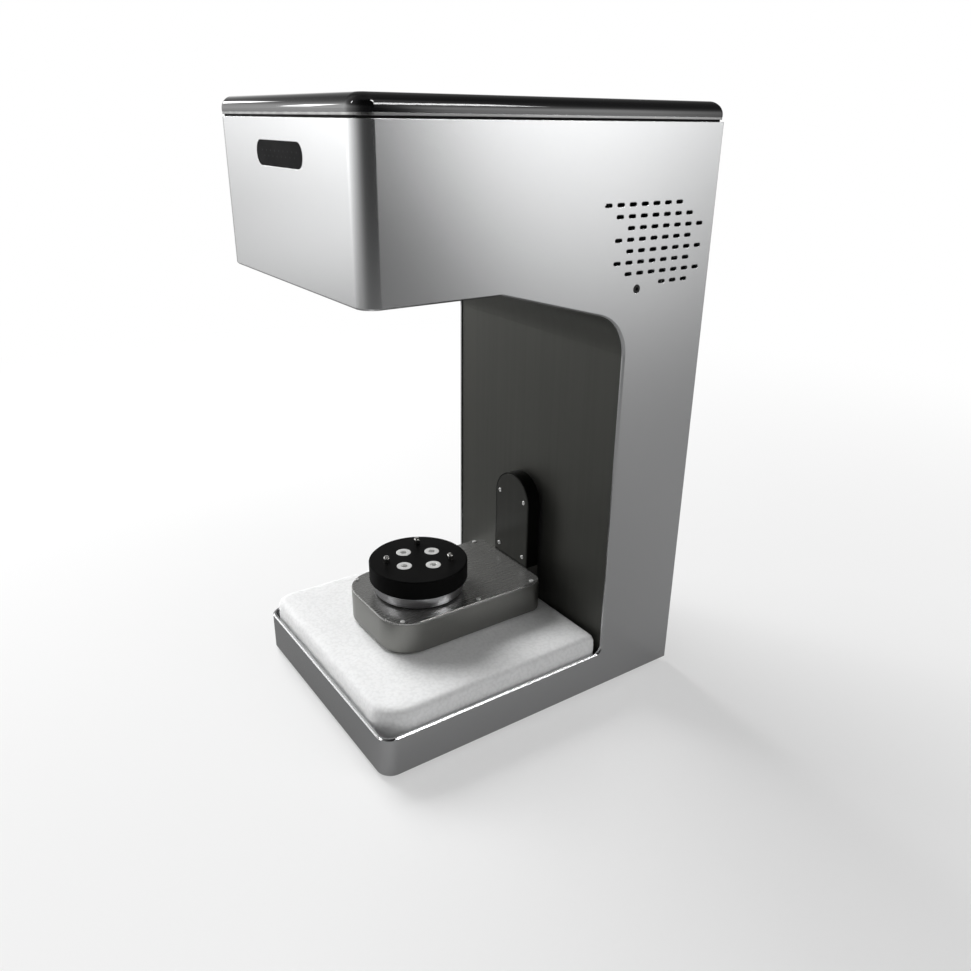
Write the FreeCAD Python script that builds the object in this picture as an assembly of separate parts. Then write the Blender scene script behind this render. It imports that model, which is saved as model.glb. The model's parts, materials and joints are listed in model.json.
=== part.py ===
"""Desktop 3d scanner: C-shaped shell, overhead optics, swing arm and motor-driven turntable.

Millimetres. +Z is up, the front faces -Y, and the origin is on the ground under the
middle of the footprint. Every sub-part is its own solid, or group of solids, in its own file.
"""
import FreeCAD
import Part

import math
import os

from FreeCAD import Vector

# ---------------------------------------------------------------- overall sizes
WIDTH = 210.0
DEPTH = 274.0
SHELL_HEIGHT = 427.0
SHELL_WALL = 2.5
FRONT_CORNER_R = 11.3
EDGE_CHAMFER = 1.1
FOOT_HEIGHT = 4.0
FOOT_R = 9.0
FOOT_TAPER = 1.0
FOOT_INSET = 20.0

# ---------------------------------------------------------------- C-shaped throat
HEAD_HEIGHT = 98.4
COLUMN_DEPTH = 75.5
RIM_HEIGHT = 31.5
SLOPE_START = 93.5
SLOPE_ANGLE = 14.8
THROAT_CORNER_R = 32.0
TRAY_CORNER_R = 6.0
LINER_RECESS = 1.0
LINER_WALL = 1.5
LINER_SIDE_GAP = 0.6

# ---------------------------------------------------------------- fits and clearances
RUNNING_FIT = 0.02
PLUG_FIT = 0.15
PANEL_GAP = 0.4
SOFT_GAP = 0.3
MOVING_GAP = 0.4
THROUGH = 1.0
OVERSHOOT = 20.0
ALMOST = 0.99

# ---------------------------------------------------------------- fasteners
M3_R = 1.5
M3_HEAD_R = 2.8
M3_HEAD_HEIGHT = 1.6
M3_HEAD_LOW = 1.4
M2_R = 0.9
M2_HEAD_R = 1.8
M2_HEAD_HEIGHT = 0.8
M2_HOLE_R = 1.0
M2_LENGTH = 5.5
DOME_SHARE = 0.6
SOCKET_SHARE_DOMED = 0.42
SOCKET_DEPTH_DOMED = 0.6
SOCKET_SHARE_FLAT = 0.46
SOCKET_DEPTH_FLAT = 0.55

# ---------------------------------------------------------------- cheek vents and screw
VENT_LENGTH = 6.3
VENT_HEIGHT = 2.5
VENT_PITCH_Y = 10.62
VENT_PITCH_Z = 7.4
VENT_FIRST_FROM_CHEEK = 26.35
VENT_TOP_DROP = 49.5
VENT_ROWS = ((0, 7), (1, 8), (2, 9), (1, 8), (2, 9), (1, 8), (2, 9), (5, 8))
SIDE_SCREW_FROM_CHEEK = 7.0
SIDE_SCREW_DROP = 104.6
SIDE_SCREW_HEAD_R = 3.0
SIDE_SCREW_SINK = 2.0
SIDE_SCREW_LENGTH = 8.0

# ---------------------------------------------------------------- lid
SEAL_THICK = 1.4
SEAL_INSET = 1.5
SEAL_BAND = 6.0
TRIM_THICK = 1.6
TRIM_INSET = 0.2
TRIM_BAND = 9.0
COVER_HEIGHT = 9.7
COVER_WALL = 2.4
COVER_EDGE_R = 8.0
COVER_BACK_CORNER_R = 3.0
COVER_BOSS_R = 4.0
COVER_BOSS_MERGE = 0.2
COVER_SIDE_EXTRA = 1.6
LID_SCREW_LENGTH = 9.0

# ---------------------------------------------------------------- indicator pill
PILL_LENGTH = 72.0
PILL_HEIGHT = 15.0
PILL_DROP = 20.6
PILL_FLANGE = 3.0
PILL_FLANGE_THICK = 1.5
PILL_SINK = 0.3
LED_COUNT = 7
LED_SIZE = (3.0, 1.2, 2.0)
PEG_R = 1.5
PEG_FROM_END = 8.0
PEG_FROM_EDGE = 2.5
LAMP_BOARD_GAP = 3.0
LAMP_BOARD_CORNER_R = 2.0
LAMP_PLUG = (16.0, 5.0, 6.0)

# ---------------------------------------------------------------- base and pad
BASE_PLATE_THICK = 3.0
PAD_TOP_OVER_RIM = 15.9
PAD_SIDE_GAP = 0.8
PAD_FRONT_GAP = 0.8
PAD_BACK_GAP = 0.6
PAD_FRONT_CORNER_R = 20.0
PAD_BACK_CORNER_R = 6.5
PAD_EDGE_R = 6.0

# ---------------------------------------------------------------- swing axis and arm
SWING_HEIGHT = 136.0
ARM_HALF_WIDTH = 46.0
ARM_BOTTOM = 52.0
ARM_HEIGHT = 28.0
ARM_NOSE = 47.7
ARM_NOSE_R = 26.0
ARM_TAIL_R = 9.0
ARM_WALL = 2.5
ARM_FLOOR = 3.0
ARM_EDGE_R = 2.5
ARM_COVER_THICK = 2.0
RISER_R = 23.2
RISER_DEPTH = 11.5
RISER_BORDER = 1.0
RISER_COVER_THICK = 1.4
RISER_COVER_PROUD = 0.2
RISER_SHELL = 3.0
RISER_TO_PANEL = 5.0
RISER_WALL = 3.6
RISER_HOLLOW_RISE = 4.0
RISER_LUG_R = 3.2
RISER_LUG_SETBACK = 1.0
RISER_SCREW_FROM_EDGE = 6.5
RISER_SCREW_RISE = 8.2
RISER_SCREW_OVER_AXIS = 2.8
HUB_SCREW_CIRCLE_R = 12.5
COVER_POST_R = 3.0
COVER_POST_SINK = 0.5
COVER_EDGE_GAP = 0.15
COVER_CHAMFER = 0.5
COVER_NOSE_SCREW = (7.5, 11.0)
COVER_SIDE_SCREW_INSET = 3.5
COVER_SIDE_SCREW_Y = 30.0
COVER_TAIL_SCREW_Y = 9.5

# ---------------------------------------------------------------- turntable
TURNTABLE_FROM_BACK = 183.3
DISC_R = 39.5
DISC_THICK = 15.5
DISC_CHAMFER = 0.8
COLLAR_R = 36.0
COLLAR_HEIGHT = 9.6
CARRIER_FLANGE_R = 33.5
CARRIER_FLANGE_THICK = 1.0
CARRIER_BARREL_R = 15.0
PIN_CIRCLE_R = 25.7
PIN_SPREAD = 100.5
PIN_R = 2.5
PIN_HEIGHT = 5.8
PIN_DOME_R = 1.8
PIN_SHANK_R = 2.0
PIN_DEPTH = 8.0
TABLE_REST_ANGLE = 152.2
DISC_SCREW_CIRCLE_R = 16.2
DISC_SCREW_HEAD_R = 6.0
DISC_SCREW_HEAD_DEPTH = 3.2
DISC_SCREW_SHANK_R = 2.5
SPINDLE_R = 4.0
SMALL_BEARING_R = 11.0
SMALL_BEARING_WIDTH = 7.0
TABLE_PULLEY_R = 22.0
MOTOR_PULLEY_R = 8.0
PULLEY_DISTANCE = 54.0
PULLEY_WIDTH = 7.0
PULLEY_FLANGE = 1.5
PULLEY_FLANGE_THICK = 0.8
BELT_THICK = 1.2
TABLE_MOTOR_SIDE = 35.0
TABLE_MOTOR_HEIGHT = 12.0
TABLE_MOTOR_CORNER_R = 4.0
TABLE_MOTOR_BORE = 1.0
MOTOR_SHAFT_R = 2.5
PULLEY_LIFT = 2.0
SHAFT_STUB = 0.5
BEARING_GAP = 0.4
CARRIER_LIP = 0.6
SPINDLE_IN_COLLAR = 6.0
SPINDLE_SHOULDER = 2.2
SHOULDER_GAP = 0.05
COLLAR_CHAMFER = 0.6
DISC_SCREW_IN_COLLAR = 6.0
DISC_SCREW_TIP_GAP = 0.5

# ---------------------------------------------------------------- swing drive
SHAFT_R = 7.5
SHAFT_FLANGE_R = 16.0
SHAFT_FLANGE_THICK = 3.0
SHAFT_HUB_R = 10.0
LINER_HOLE_R = 12.0
BEARING_R = 16.0
BEARING_WIDTH = 9.0
BEARING_SPACER = 1.8
HOUSING_R = 22.0
HOUSING_FLANGE_R = 30.0
HOUSING_FLANGE_THICK = 4.0
HOUSING_FRONT_GAP = 2.0
HOUSING_LIP = 0.6
BEARING_SHOULDER = 2.0
BEARING_RACE_SHARE = 0.26
SHIELD_GAP = 0.1
SHIELD_SINK = 0.6
GEAR_GAP = 2.0
SHAFT_HUB_GAP = 0.1
SHAFT_TAIL = 1.5
GEAR_MODULE = 1.0
GEAR_TEETH = 60
PINION_TEETH = 15
GEAR_WIDTH = 7.0
PRESSURE_ANGLE = 20.0
TOOTH_ADDENDUM = 0.8
TOOTH_DEDENDUM = 1.1
TOOTH_BACKLASH = 0.16
SWING_MOTOR_SIDE = 42.0
SWING_MOTOR_LENGTH = 28.0
MOTOR_PILOT_R = 11.0
MOTOR_PLATE_THICK = 3.0
MOTOR_PLATE_GAP = 4.0
MOTOR_EAR = 9.0
MOTOR_LEG_THICK = 3.0
MOTOR_LEG_DROP = 4.0
MOTOR_FOOT = 10.0
MOTOR_CORNER_R = 5.0
MOTOR_PILOT_HEIGHT = 2.0
MOTOR_SHAFT_GAP = 0.5
MOTOR_SHAFT_TIP_GAP = 0.1
MOTOR_BORE_DEPTH = 3.0
GEAR_HOLES = 6
GEAR_HOLE_R = 5.0
GEAR_HOLE_CIRCLE_R = 19.0
PINION_OVERLAP = 0.5
PINION_SHAFT_STUB = 1.5

# ---------------------------------------------------------------- column frame
SPINE_SETBACK = 12.5
SPINE_WALL = 3.0
SPINE_FLANGE_WALL = 2.5
SPINE_TOP_DROP = 3.2
SPINE_FOOT_DEPTH = 8.0
BRACKET_WALL = 2.5
BRACKET_SIDE_GAP = 2.0
BRACKET_FRONT_REACH = 37.0
BRACKET_BACK_REACH = 93.0
BRACKET_STRIP = 34.0
BRACKET_TOP_GAP = 8.5
BRACKET_FLANGE = 18.0
BRACKET_LINER_GAP = 4.0
BRACKET_NECK = 14.0
BRACKET_BOSS_R = 4.0
LID_BOSS_INSET = 15.0
FRAME_SCREW_INSET = 12.0
REAR_SCREW_INSET = 9.0
REAR_SCREW_LOW = 22.0
REAR_SCREW_TOP_DROP = 15.0

# ---------------------------------------------------------------- optics, out from the target
WINDOW_VIEW_MARGIN = 1.63
WINDOW_WIDTH = 46.0
WINDOW_CORNER_R = 8.0
GLASS_THICK = 2.0
GLASS_LAP = 4.0
RETAINER_THICK = 1.5
RETAINER_BAND = 5.0
BENCH_HEIGHT = 20.0
BENCH_THICK = 4.0
BENCH_HALF_LENGTH = 36.0
CAMERA_FROM_BRACKET = 31.6
CAMERA_GLASS_GAP = 1.24
CAMERA_LENS_R = 12.0
CAMERA_LENS_LENGTH = 26.0
CAMERA_SIDE = 26.0
CAMERA_LENGTH = 22.0
PROJECTOR_LENS_GAP = 11.0
PROJECTOR_LENS_R = 15.0
PROJECTOR_LENS_LENGTH = 34.0
PROJECTOR_SIZE = (64.0, 54.0, 42.0)
PROJECTOR_POST_R = 3.0
PROJECTOR_POST_INSET = 6.0
PROJECTOR_RIB_HEIGHT = 6.0
PROJECTOR_RIB_THICK = 2.4
PROJECTOR_RIB_PITCH = 9.0
PROJECTOR_RIB_INSET = 3.0
PROJECTOR_CORNER_R = 3.0
LENS_HOLE_GAP = 1.5
BENCH_CORNER_R = 3.0
MOUNT_BARREL_GAP = 0.5
MOUNT_OUTER_LIP = 1.5
MOUNT_INNER_LIP = 1.0
MOUNT_SIDE_LIP = 2.0
MOUNT_REACH = 60.0
CAMERA_CORNER_R = 2.0
CAMERA_PLUG = (14.0, 8.0, 5.0)
LENS_REAR_SHARE = 0.82
LENS_STEP_SHARE = 0.55
LENS_DISH_SHARE = 0.78
LENS_DISH_DEPTH = 2.0
LENS_GLASS_SHARE = 0.6
LENS_GLASS_THICK = 1.0

# ---------------------------------------------------------------- rear panel and its fittings
REAR_RECESS = 3.0
REAR_WALL = 1.5
REAR_TAB = (14.0, 16.0)
REAR_TAB_THICK = 2.5
FAN_SIDE = 60.0
FAN_DEPTH = 15.0
FAN_DROP = 46.0
FAN_BORE_R = 28.5
FAN_ROTOR_R = 27.5
FAN_HUB_R = 11.5
FAN_POST_R = 6.0
FAN_BLADES = 7
FAN_BLADE_PITCH = 38.0
FAN_BLADE_THICK = 1.2
FAN_BLADE_CHORD = 18.0
FAN_BLADE_ROOT = 2.0
FAN_BLADE_INSET = 0.4
FAN_ROTOR_GAP = 0.6
FAN_POST_FIT = 0.05
FAN_CORNER_R = 4.0
FAN_HOLE_INSET = 5.0
FAN_HOLE_R = 2.2
FAN_ARM = (3.0, 1.5)
FAN_POST_SETBACK = 4.0
FAN_SCREW_HEAD_R = 4.0
FAN_SCREW_HEAD_HEIGHT = 2.0
FAN_SCREW_LENGTH = 11.5
GRILLE_PITCH = 5.0
GRILLE_SLOT = 2.4
GRILLE_RIB = 3.0
LOWER_VENT_COUNT = 9
LOWER_VENT_PITCH = 8.0
LOWER_VENT_RANGE = (10.0, 30.0)
INLET_FROM_SIDE = 45.0
INLET_Z = 46.0
INLET_BODY = (52.0, 24.0, 22.0)
INLET_FLANGE = 3.0
INLET_FLANGE_THICK = 2.0
INLET_CORNER_R = 1.0
INLET_FLANGE_CORNER_R = 3.0
SOCKET_OFFSET = -10.0
SOCKET_SIZE = (24.4, 16.6, 17.0)
SOCKET_CORNER = 3.5
BLADE_SIZE = (2.0, 4.0, 14.0)
BLADE_SPREAD = 7.0
BLADE_LOW = -1.0
BLADE_HIGH = 4.5
ROCKER_OFFSET = 13.5
ROCKER_SIZE = (12.6, 18.0)
ROCKER_DEPTH = 6.0
ROCKER_TILT = 6.0
ROCKER_PIN_R = 1.2
ROCKER_PIN_LENGTH = 1.6
ROCKER_GAP = 0.4
ROCKER_WELL = 12.0
ROCKER_PIVOT_DEPTH = 4.5
ROCKER_CREST = 0.9
ROCKER_DISH = 1.3
ROCKER_BELOW_PIVOT = 2.0
ROCKER_BEVEL = (1.5, 2.0)
ROCKER_PIN_FIT = 0.05
DATA_X = 34.0
DATA_Z = 76.0
DATA_SIZE = (12.0, 11.0, 16.0)
DATA_WALL = 0.8
DATA_CORNER_R = 0.8
DATA_LIP = 1.0
DATA_LIP_THICK = 0.8
DATA_BACK_WALL = 4.0
DATA_TONGUE = (5.6, 3.2)
DATA_TONGUE_SINK = 2.0
DATA_INNER_CORNER_R = 0.5

# ---------------------------------------------------------------- electronics
BOARD_WIDTH = 130.0
BOARD_OVER_MOTOR = 17.5
BOARD_UNDER_SPINE_TOP = 34.0
BOARD_THICK = 1.6
BOARD_CORNER_R = 3.0
STANDOFF_HEIGHT = 11.0
STANDOFF_R = 2.5
STANDOFF_INSET = 6.0
CHIP_X = -8.0
CHIP_SIDE = 28.0
CHIP_HEIGHT = 3.0
MEMORY_X = 34.0
MEMORY_RISE = 12.0
MEMORY_SIZE = (18.0, 14.0, 2.0)
CAPACITOR_COUNT = 5
CAPACITOR_FIRST_X = -48.0
CAPACITOR_PITCH = 13.0
CAPACITOR_R = 4.0
CAPACITOR_HEIGHT = 11.0
CAPACITOR_INSET = 14.0
HEADER_COUNT = 5
HEADER_FIRST_X = -50.0
HEADER_PITCH = 22.0
HEADER_SIZE = (14.0, 8.0, 8.0)
HEADER_INSET = 9.0
SUPPLY_FROM_INLET = 16.0
SUPPLY_FROM_SPINE = 13.5
SUPPLY_FROM_PANEL = 3.0
SUPPLY_DEPTH = 44.0
SUPPLY_HEIGHT = 38.0
SUPPLY_CORNER_R = 1.5
SUPPLY_SLOT = 2.4
SUPPLY_SLOT_PITCH = 8.5
SUPPLY_SLOT_INSET = (12.0, 8.0)
SUPPLY_SLOT_DEPTH = 1.0

# ---------------------------------------------------------------- places worked out from the sizes
SIDE = WIDTH / 2
FRONT = -DEPTH / 2
BACK = DEPTH / 2
SHELL_BOTTOM = FOOT_HEIGHT
SHELL_TOP = SHELL_BOTTOM + SHELL_HEIGHT
INNER_SIDE = SIDE - SHELL_WALL
INNER_FRONT = FRONT + SHELL_WALL
CHEEK_Y = BACK - COLUMN_DEPTH
RIM_Z = SHELL_BOTTOM + RIM_HEIGHT
UNDERSIDE_Z = SHELL_TOP - HEAD_HEIGHT
SLOPE_Y = FRONT + SLOPE_START
SLOPE = math.radians(SLOPE_ANGLE)
ARC_Y = CHEEK_Y - THROAT_CORNER_R
ARC_Z = UNDERSIDE_Z - (ARC_Y - SLOPE_Y) * math.tan(SLOPE) - THROAT_CORNER_R / math.cos(SLOPE)
FLOOR_Z = SHELL_BOTTOM + BASE_PLATE_THICK
LINER_FRONT = CHEEK_Y + LINER_RECESS
LINER_BACK = LINER_FRONT + LINER_WALL
REAR_OUTER = BACK - REAR_RECESS
REAR_INNER = REAR_OUTER - REAR_WALL

SIDE_SCREW_Y = CHEEK_Y + SIDE_SCREW_FROM_CHEEK
SIDE_SCREW_Z = SHELL_TOP - SIDE_SCREW_DROP
PILL_Z = SHELL_TOP - PILL_DROP

SEAL_TOP = SHELL_TOP + SEAL_THICK
TRIM_TOP = SEAL_TOP + TRIM_THICK
COVER_TOP = TRIM_TOP + COVER_HEIGHT

RISER_BACK = LINER_FRONT - RISER_TO_PANEL
RISER_FRONT = RISER_BACK - RISER_DEPTH
TURNTABLE_Y = BACK - TURNTABLE_FROM_BACK
ARM_FRONT = TURNTABLE_Y - ARM_NOSE
ARM_TOP = ARM_BOTTOM + ARM_HEIGHT
ARM_BOX_TOP = ARM_TOP - ARM_COVER_THICK
ARM_INSIDE_Z = ARM_BOTTOM + ARM_FLOOR

CARRIER_TOP = ARM_TOP + CARRIER_FLANGE_THICK
COLLAR_BOTTOM = CARRIER_TOP + MOVING_GAP
DISC_BOTTOM = COLLAR_BOTTOM + COLLAR_HEIGHT
DISC_TOP = DISC_BOTTOM + DISC_THICK
PULLEY_BOTTOM = ARM_INSIDE_Z + PULLEY_LIFT
PULLEY_TOP = PULLEY_BOTTOM + PULLEY_WIDTH
TABLE_MOTOR_Y = TURNTABLE_Y + PULLEY_DISTANCE
CARRIER_BOTTOM = PULLEY_TOP + MOVING_GAP
UPPER_BEARING_TOP = ARM_TOP - MOVING_GAP
LOWER_BEARING_TOP = UPPER_BEARING_TOP - SMALL_BEARING_WIDTH - BEARING_GAP

SPINE_FRONT = CHEEK_Y + SPINE_SETBACK
SPINE_BACK = SPINE_FRONT + SPINE_WALL
HOUSING_FRONT = LINER_BACK + HOUSING_FRONT_GAP
FRONT_BEARING_Y = HOUSING_FRONT + HOUSING_LIP
REAR_BEARING_Y = FRONT_BEARING_Y + BEARING_WIDTH + BEARING_SPACER
HOUSING_BACK = REAR_BEARING_Y + BEARING_WIDTH + HOUSING_LIP
GEAR_FRONT = HOUSING_BACK + GEAR_GAP
GEAR_BACK = GEAR_FRONT + GEAR_WIDTH
GEAR_R = GEAR_MODULE * GEAR_TEETH / 2
PINION_R = GEAR_MODULE * PINION_TEETH / 2
PINION_Z = SWING_HEIGHT + GEAR_R + PINION_R
SWING_MOTOR_FACE = GEAR_BACK + MOTOR_PLATE_GAP + MOTOR_PLATE_THICK

BRACKET_OUTER = INNER_SIDE - BRACKET_SIDE_GAP
BRACKET_INNER = BRACKET_OUTER - BRACKET_WALL
SPINE_SIDE = BRACKET_INNER
SPINE_TOP = UNDERSIDE_Z - SPINE_TOP_DROP
BRACKET_STRIP_BOTTOM = SPINE_TOP - BRACKET_STRIP
BRACKET_FRONT = FRONT + BRACKET_FRONT_REACH
BRACKET_SHOULDER = BACK - BRACKET_BACK_REACH - BRACKET_NECK
BRACKET_TOP = SHELL_TOP - BRACKET_TOP_GAP

TARGET = Vector(0.0, TURNTABLE_Y, SWING_HEIGHT)
WINDOW_D = ((SLOPE_Y - TURNTABLE_Y) * math.sin(SLOPE)
            + (UNDERSIDE_Z - SWING_HEIGHT) * math.cos(SLOPE))
GLASS_D = WINDOW_D + LINER_RECESS + LINER_WALL
RETAINER_D = GLASS_D + GLASS_THICK
BENCH_D = WINDOW_D + BENCH_HEIGHT
BENCH_TOP_D = BENCH_D + BENCH_THICK
CAMERA_X = BRACKET_INNER - CAMERA_FROM_BRACKET
TOE = math.atan2(CAMERA_X, BENCH_TOP_D)
CAMERA_TOE = math.degrees(TOE)
CAMERA_LENS_D = (RETAINER_D + CAMERA_GLASS_GAP + CAMERA_LENS_R * math.sin(TOE)) / math.cos(TOE)
CAMERA_D = CAMERA_LENS_D + CAMERA_LENS_LENGTH
CAMERA_REACH = CAMERA_LENS_D * math.sin(TOE) + CAMERA_LENS_R * math.cos(TOE)
WINDOW_LENGTH = 2 * (CAMERA_REACH + WINDOW_VIEW_MARGIN)
PROJECTOR_LENS_D = WINDOW_D + PROJECTOR_LENS_GAP
PROJECTOR_D = PROJECTOR_LENS_D + PROJECTOR_LENS_LENGTH

FAN_HEIGHT = SHELL_TOP - FAN_DROP
INLET_FACE = REAR_OUTER + INLET_FLANGE_THICK
INLET_X = INLET_FROM_SIDE - SIDE
SUPPLY_LEFT = INLET_X + INLET_BODY[0] / 2 + SUPPLY_FROM_INLET
SUPPLY_RIGHT = SPINE_SIDE - SPINE_FLANGE_WALL - SUPPLY_FROM_SPINE
LID_BOSS_X = BRACKET_INNER - BRACKET_FLANGE / 2
LID_BOSS_YS = (BRACKET_FRONT + LID_BOSS_INSET, BRACKET_SHOULDER - LID_BOSS_INSET)
COVER_SCREW_XYS = (
    (ARM_HALF_WIDTH - COVER_NOSE_SCREW[0], ARM_FRONT + COVER_NOSE_SCREW[1]),
    (ARM_HALF_WIDTH - COVER_SIDE_SCREW_INSET, TURNTABLE_Y + COVER_SIDE_SCREW_Y),
    (ARM_HALF_WIDTH - COVER_SIDE_SCREW_INSET, RISER_FRONT - COVER_TAIL_SCREW_Y),
)
RISER_SCREW_X = RISER_R - RISER_SCREW_FROM_EDGE
RISER_SCREW_ZS = (ARM_TOP + RISER_SCREW_RISE, SWING_HEIGHT + RISER_SCREW_OVER_AXIS)
REAR_SCREW_X = SPINE_SIDE - REAR_SCREW_INSET
REAR_SCREW_LOW_Z = SHELL_BOTTOM + REAR_SCREW_LOW
REAR_SCREW_HIGH_Z = SPINE_TOP - REAR_SCREW_TOP_DROP
REAR_SCREW_ZS = (REAR_SCREW_LOW_Z, (REAR_SCREW_LOW_Z + REAR_SCREW_HIGH_Z) / 2, REAR_SCREW_HIGH_Z)
BOARD_BOTTOM = PINION_Z + SWING_MOTOR_SIDE / 2 + BOARD_OVER_MOTOR
BOARD_TOP = SPINE_TOP - BOARD_UNDER_SPINE_TOP
STANDOFF_X = BOARD_WIDTH / 2 - STANDOFF_INSET
STANDOFF_ZS = (BOARD_BOTTOM + STANDOFF_INSET, BOARD_TOP - STANDOFF_INSET)
FAN_HOLE_OFFSET = FAN_SIDE / 2 - FAN_HOLE_INSET


# ---------------------------------------------------------------- basic solids
def place(axis, u, v, w):
    """Point whose third coordinate w runs along the named axis."""
    if axis == "z":
        return Vector(u, v, w)
    if axis == "y":
        return Vector(u, w, v)
    return Vector(w, u, v)


def box(xs, ys, zs):
    """Box between the low and high ends of three ranges."""
    corner = Vector(xs[0], ys[0], zs[0])
    return Part.makeBox(xs[1] - xs[0], ys[1] - ys[0], zs[1] - zs[0], corner)


def rod(axis, u, v, radius, w0, w1):
    """Cylinder along an axis, from w0 to w1."""
    return Part.makeCylinder(radius, w1 - w0, place(axis, u, v, w0), place(axis, 0, 0, 1))


def cone(axis, u, v, r0, r1, w0, w1):
    """Cone along an axis, radius r0 at w0 and r1 at w1."""
    return Part.makeCone(r0, r1, w1 - w0, place(axis, u, v, w0), place(axis, 0, 0, 1))


def ring(axis, u, v, outer, inner, w0, w1):
    """Flat ring along an axis."""
    hole = rod(axis, u, v, inner, w0 - THROUGH, w1 + THROUGH)
    return rod(axis, u, v, outer, w0, w1).cut(hole)


def rounded_prism(axis, us, vs, ws, radii):
    """Prism of a rectangle whose four corners have their own radii, anticlockwise from low u, low v."""
    corners = ((us[0], vs[0], 1, 1), (us[1], vs[0], -1, 1), (us[1], vs[1], -1, -1), (us[0], vs[1], 1, -1))
    stops = []
    for index, ((u, v, du, dv), radius) in enumerate(zip(corners, radii)):
        along_u = place(axis, u + du * radius, v, ws[0])
        along_v = place(axis, u, v + dv * radius, ws[0])
        cut = radius * (1 - math.sqrt(0.5))
        middle = place(axis, u + du * cut, v + dv * cut, ws[0])
        first, last = (along_v, along_u) if index % 2 == 0 else (along_u, along_v)
        stops.append((first, middle, last, radius))
    edges = []
    for index, (first, middle, last, radius) in enumerate(stops):
        if radius > 0:
            edges.append(Part.Arc(first, middle, last).toShape())
        following = stops[(index + 1) % len(stops)][0]
        if last.distanceToPoint(following) > 1e-6:
            edges.append(Part.LineSegment(last, following).toShape())
    face = Part.Face(Part.Wire(edges))
    return face.extrude(place(axis, 0, 0, ws[1] - ws[0]))


def even_prism(axis, us, vs, ws, radius):
    """Prism of a rectangle with one corner radius."""
    return rounded_prism(axis, us, vs, ws, (radius,) * 4)


def slot(axis, u, v, length, height, w0, w1):
    """Round-ended slot, long along u, as a solid to cut with."""
    us = (u - length / 2, u + length / 2)
    vs = (v - height / 2, v + height / 2)
    middle_us = (us[0] + height / 2, us[1] - height / 2)
    bar = even_prism(axis, middle_us, vs, (w0, w1), 0)
    ends = [rod(axis, end, v, height / 2, w0, w1) for end in middle_us]
    return bar.multiFuse(ends).removeSplitter()


def shell_plan(inset, z0, z1, back_radius=0.0, back=None):
    """Slab with the shell's plan outline, drawn in by an inset."""
    front_radius = max(FRONT_CORNER_R - inset, 0.5)
    back_radius = max(back_radius - inset, 0.0)
    xs = (-SIDE + inset, SIDE - inset)
    ys = (FRONT + inset, BACK - inset if back is None else back)
    radii = (front_radius, front_radius, back_radius, back_radius)
    return rounded_prism("z", xs, ys, (z0, z1), radii)


def mirrored(shape):
    """Copy on the other side of the middle plane."""
    return shape.mirror(Vector(0, 0, 0), Vector(1, 0, 0))


def both_sides(shape):
    """The shape and its mirror image, as separate solids."""
    return [shape, mirrored(shape)]


def screw(axis, u, v, seat, out, head_r, head_h, shank_r, length):
    """Domed socket screw: its head stands out of the seat, its shank goes the other way."""
    head_end = seat + out * head_h
    low, high = min(seat, head_end), max(seat, head_end)
    head = rod(axis, u, v, head_r, low, high)
    rim = [edge for edge in head.Edges if is_circle_at(edge, axis, head_end)]
    head = head.makeFillet(head_h * DOME_SHARE, rim)
    floor = head_end - out * head_h * SOCKET_DEPTH_DOMED
    socket = hexagon(axis, u, v, head_r * SOCKET_SHARE_DOMED, min(floor, head_end), max(floor, head_end))
    tip = seat - out * length
    shank = rod(axis, u, v, shank_r, min(seat, tip), max(seat, tip))
    return head.cut(socket).fuse(shank).removeSplitter()


def flat_screw(axis, u, v, face, out, head_r, depth, shank_r, length):
    """Countersunk screw, flush with a face that looks along out."""
    neck = face - out * depth
    tip = face - out * length
    if out > 0:
        head = cone(axis, u, v, shank_r, head_r, neck, face)
    else:
        head = cone(axis, u, v, head_r, shank_r, face, neck)
    floor = face - out * depth * SOCKET_DEPTH_FLAT
    socket = hexagon(axis, u, v, head_r * SOCKET_SHARE_FLAT, min(floor, face), max(floor, face))
    shank = rod(axis, u, v, shank_r, min(neck, tip), max(neck, tip))
    return head.cut(socket).fuse(shank).removeSplitter()


def countersink(axis, u, v, face, out, head_r, depth, shank_r, length):
    """Hole for a flat screw, a running fit all round."""
    neck = face - out * depth
    tip = face - out * length
    top = head_r + RUNNING_FIT
    bore = shank_r + RUNNING_FIT
    if out > 0:
        head = cone(axis, u, v, bore, top, neck, face)
    else:
        head = cone(axis, u, v, top, bore, face, neck)
    shank = rod(axis, u, v, bore, min(neck, tip), max(neck, tip))
    return head.fuse(shank)


def is_circle_at(edge, axis, w):
    """True for a round edge that lies at w along the axis."""
    centre = edge.CenterOfMass
    along = {"x": centre.x, "y": centre.y, "z": centre.z}[axis]
    return abs(along - w) < 1e-4 and edge.Curve.TypeId == "Part::GeomCircle"


def hexagon(axis, u, v, radius, w0, w1):
    """Six-sided socket, as a solid to cut with."""
    points = []
    for step in range(7):
        angle = math.radians(60 * step)
        points.append(place(axis, u + radius * math.cos(angle), v + radius * math.sin(angle), w0))
    face = Part.Face(Part.makePolygon(points))
    return face.extrude(place(axis, 0, 0, w1 - w0))


def join(shapes):
    """One solid from shapes that touch or overlap."""
    return shapes[0].multiFuse(shapes[1:]).removeSplitter()


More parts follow.
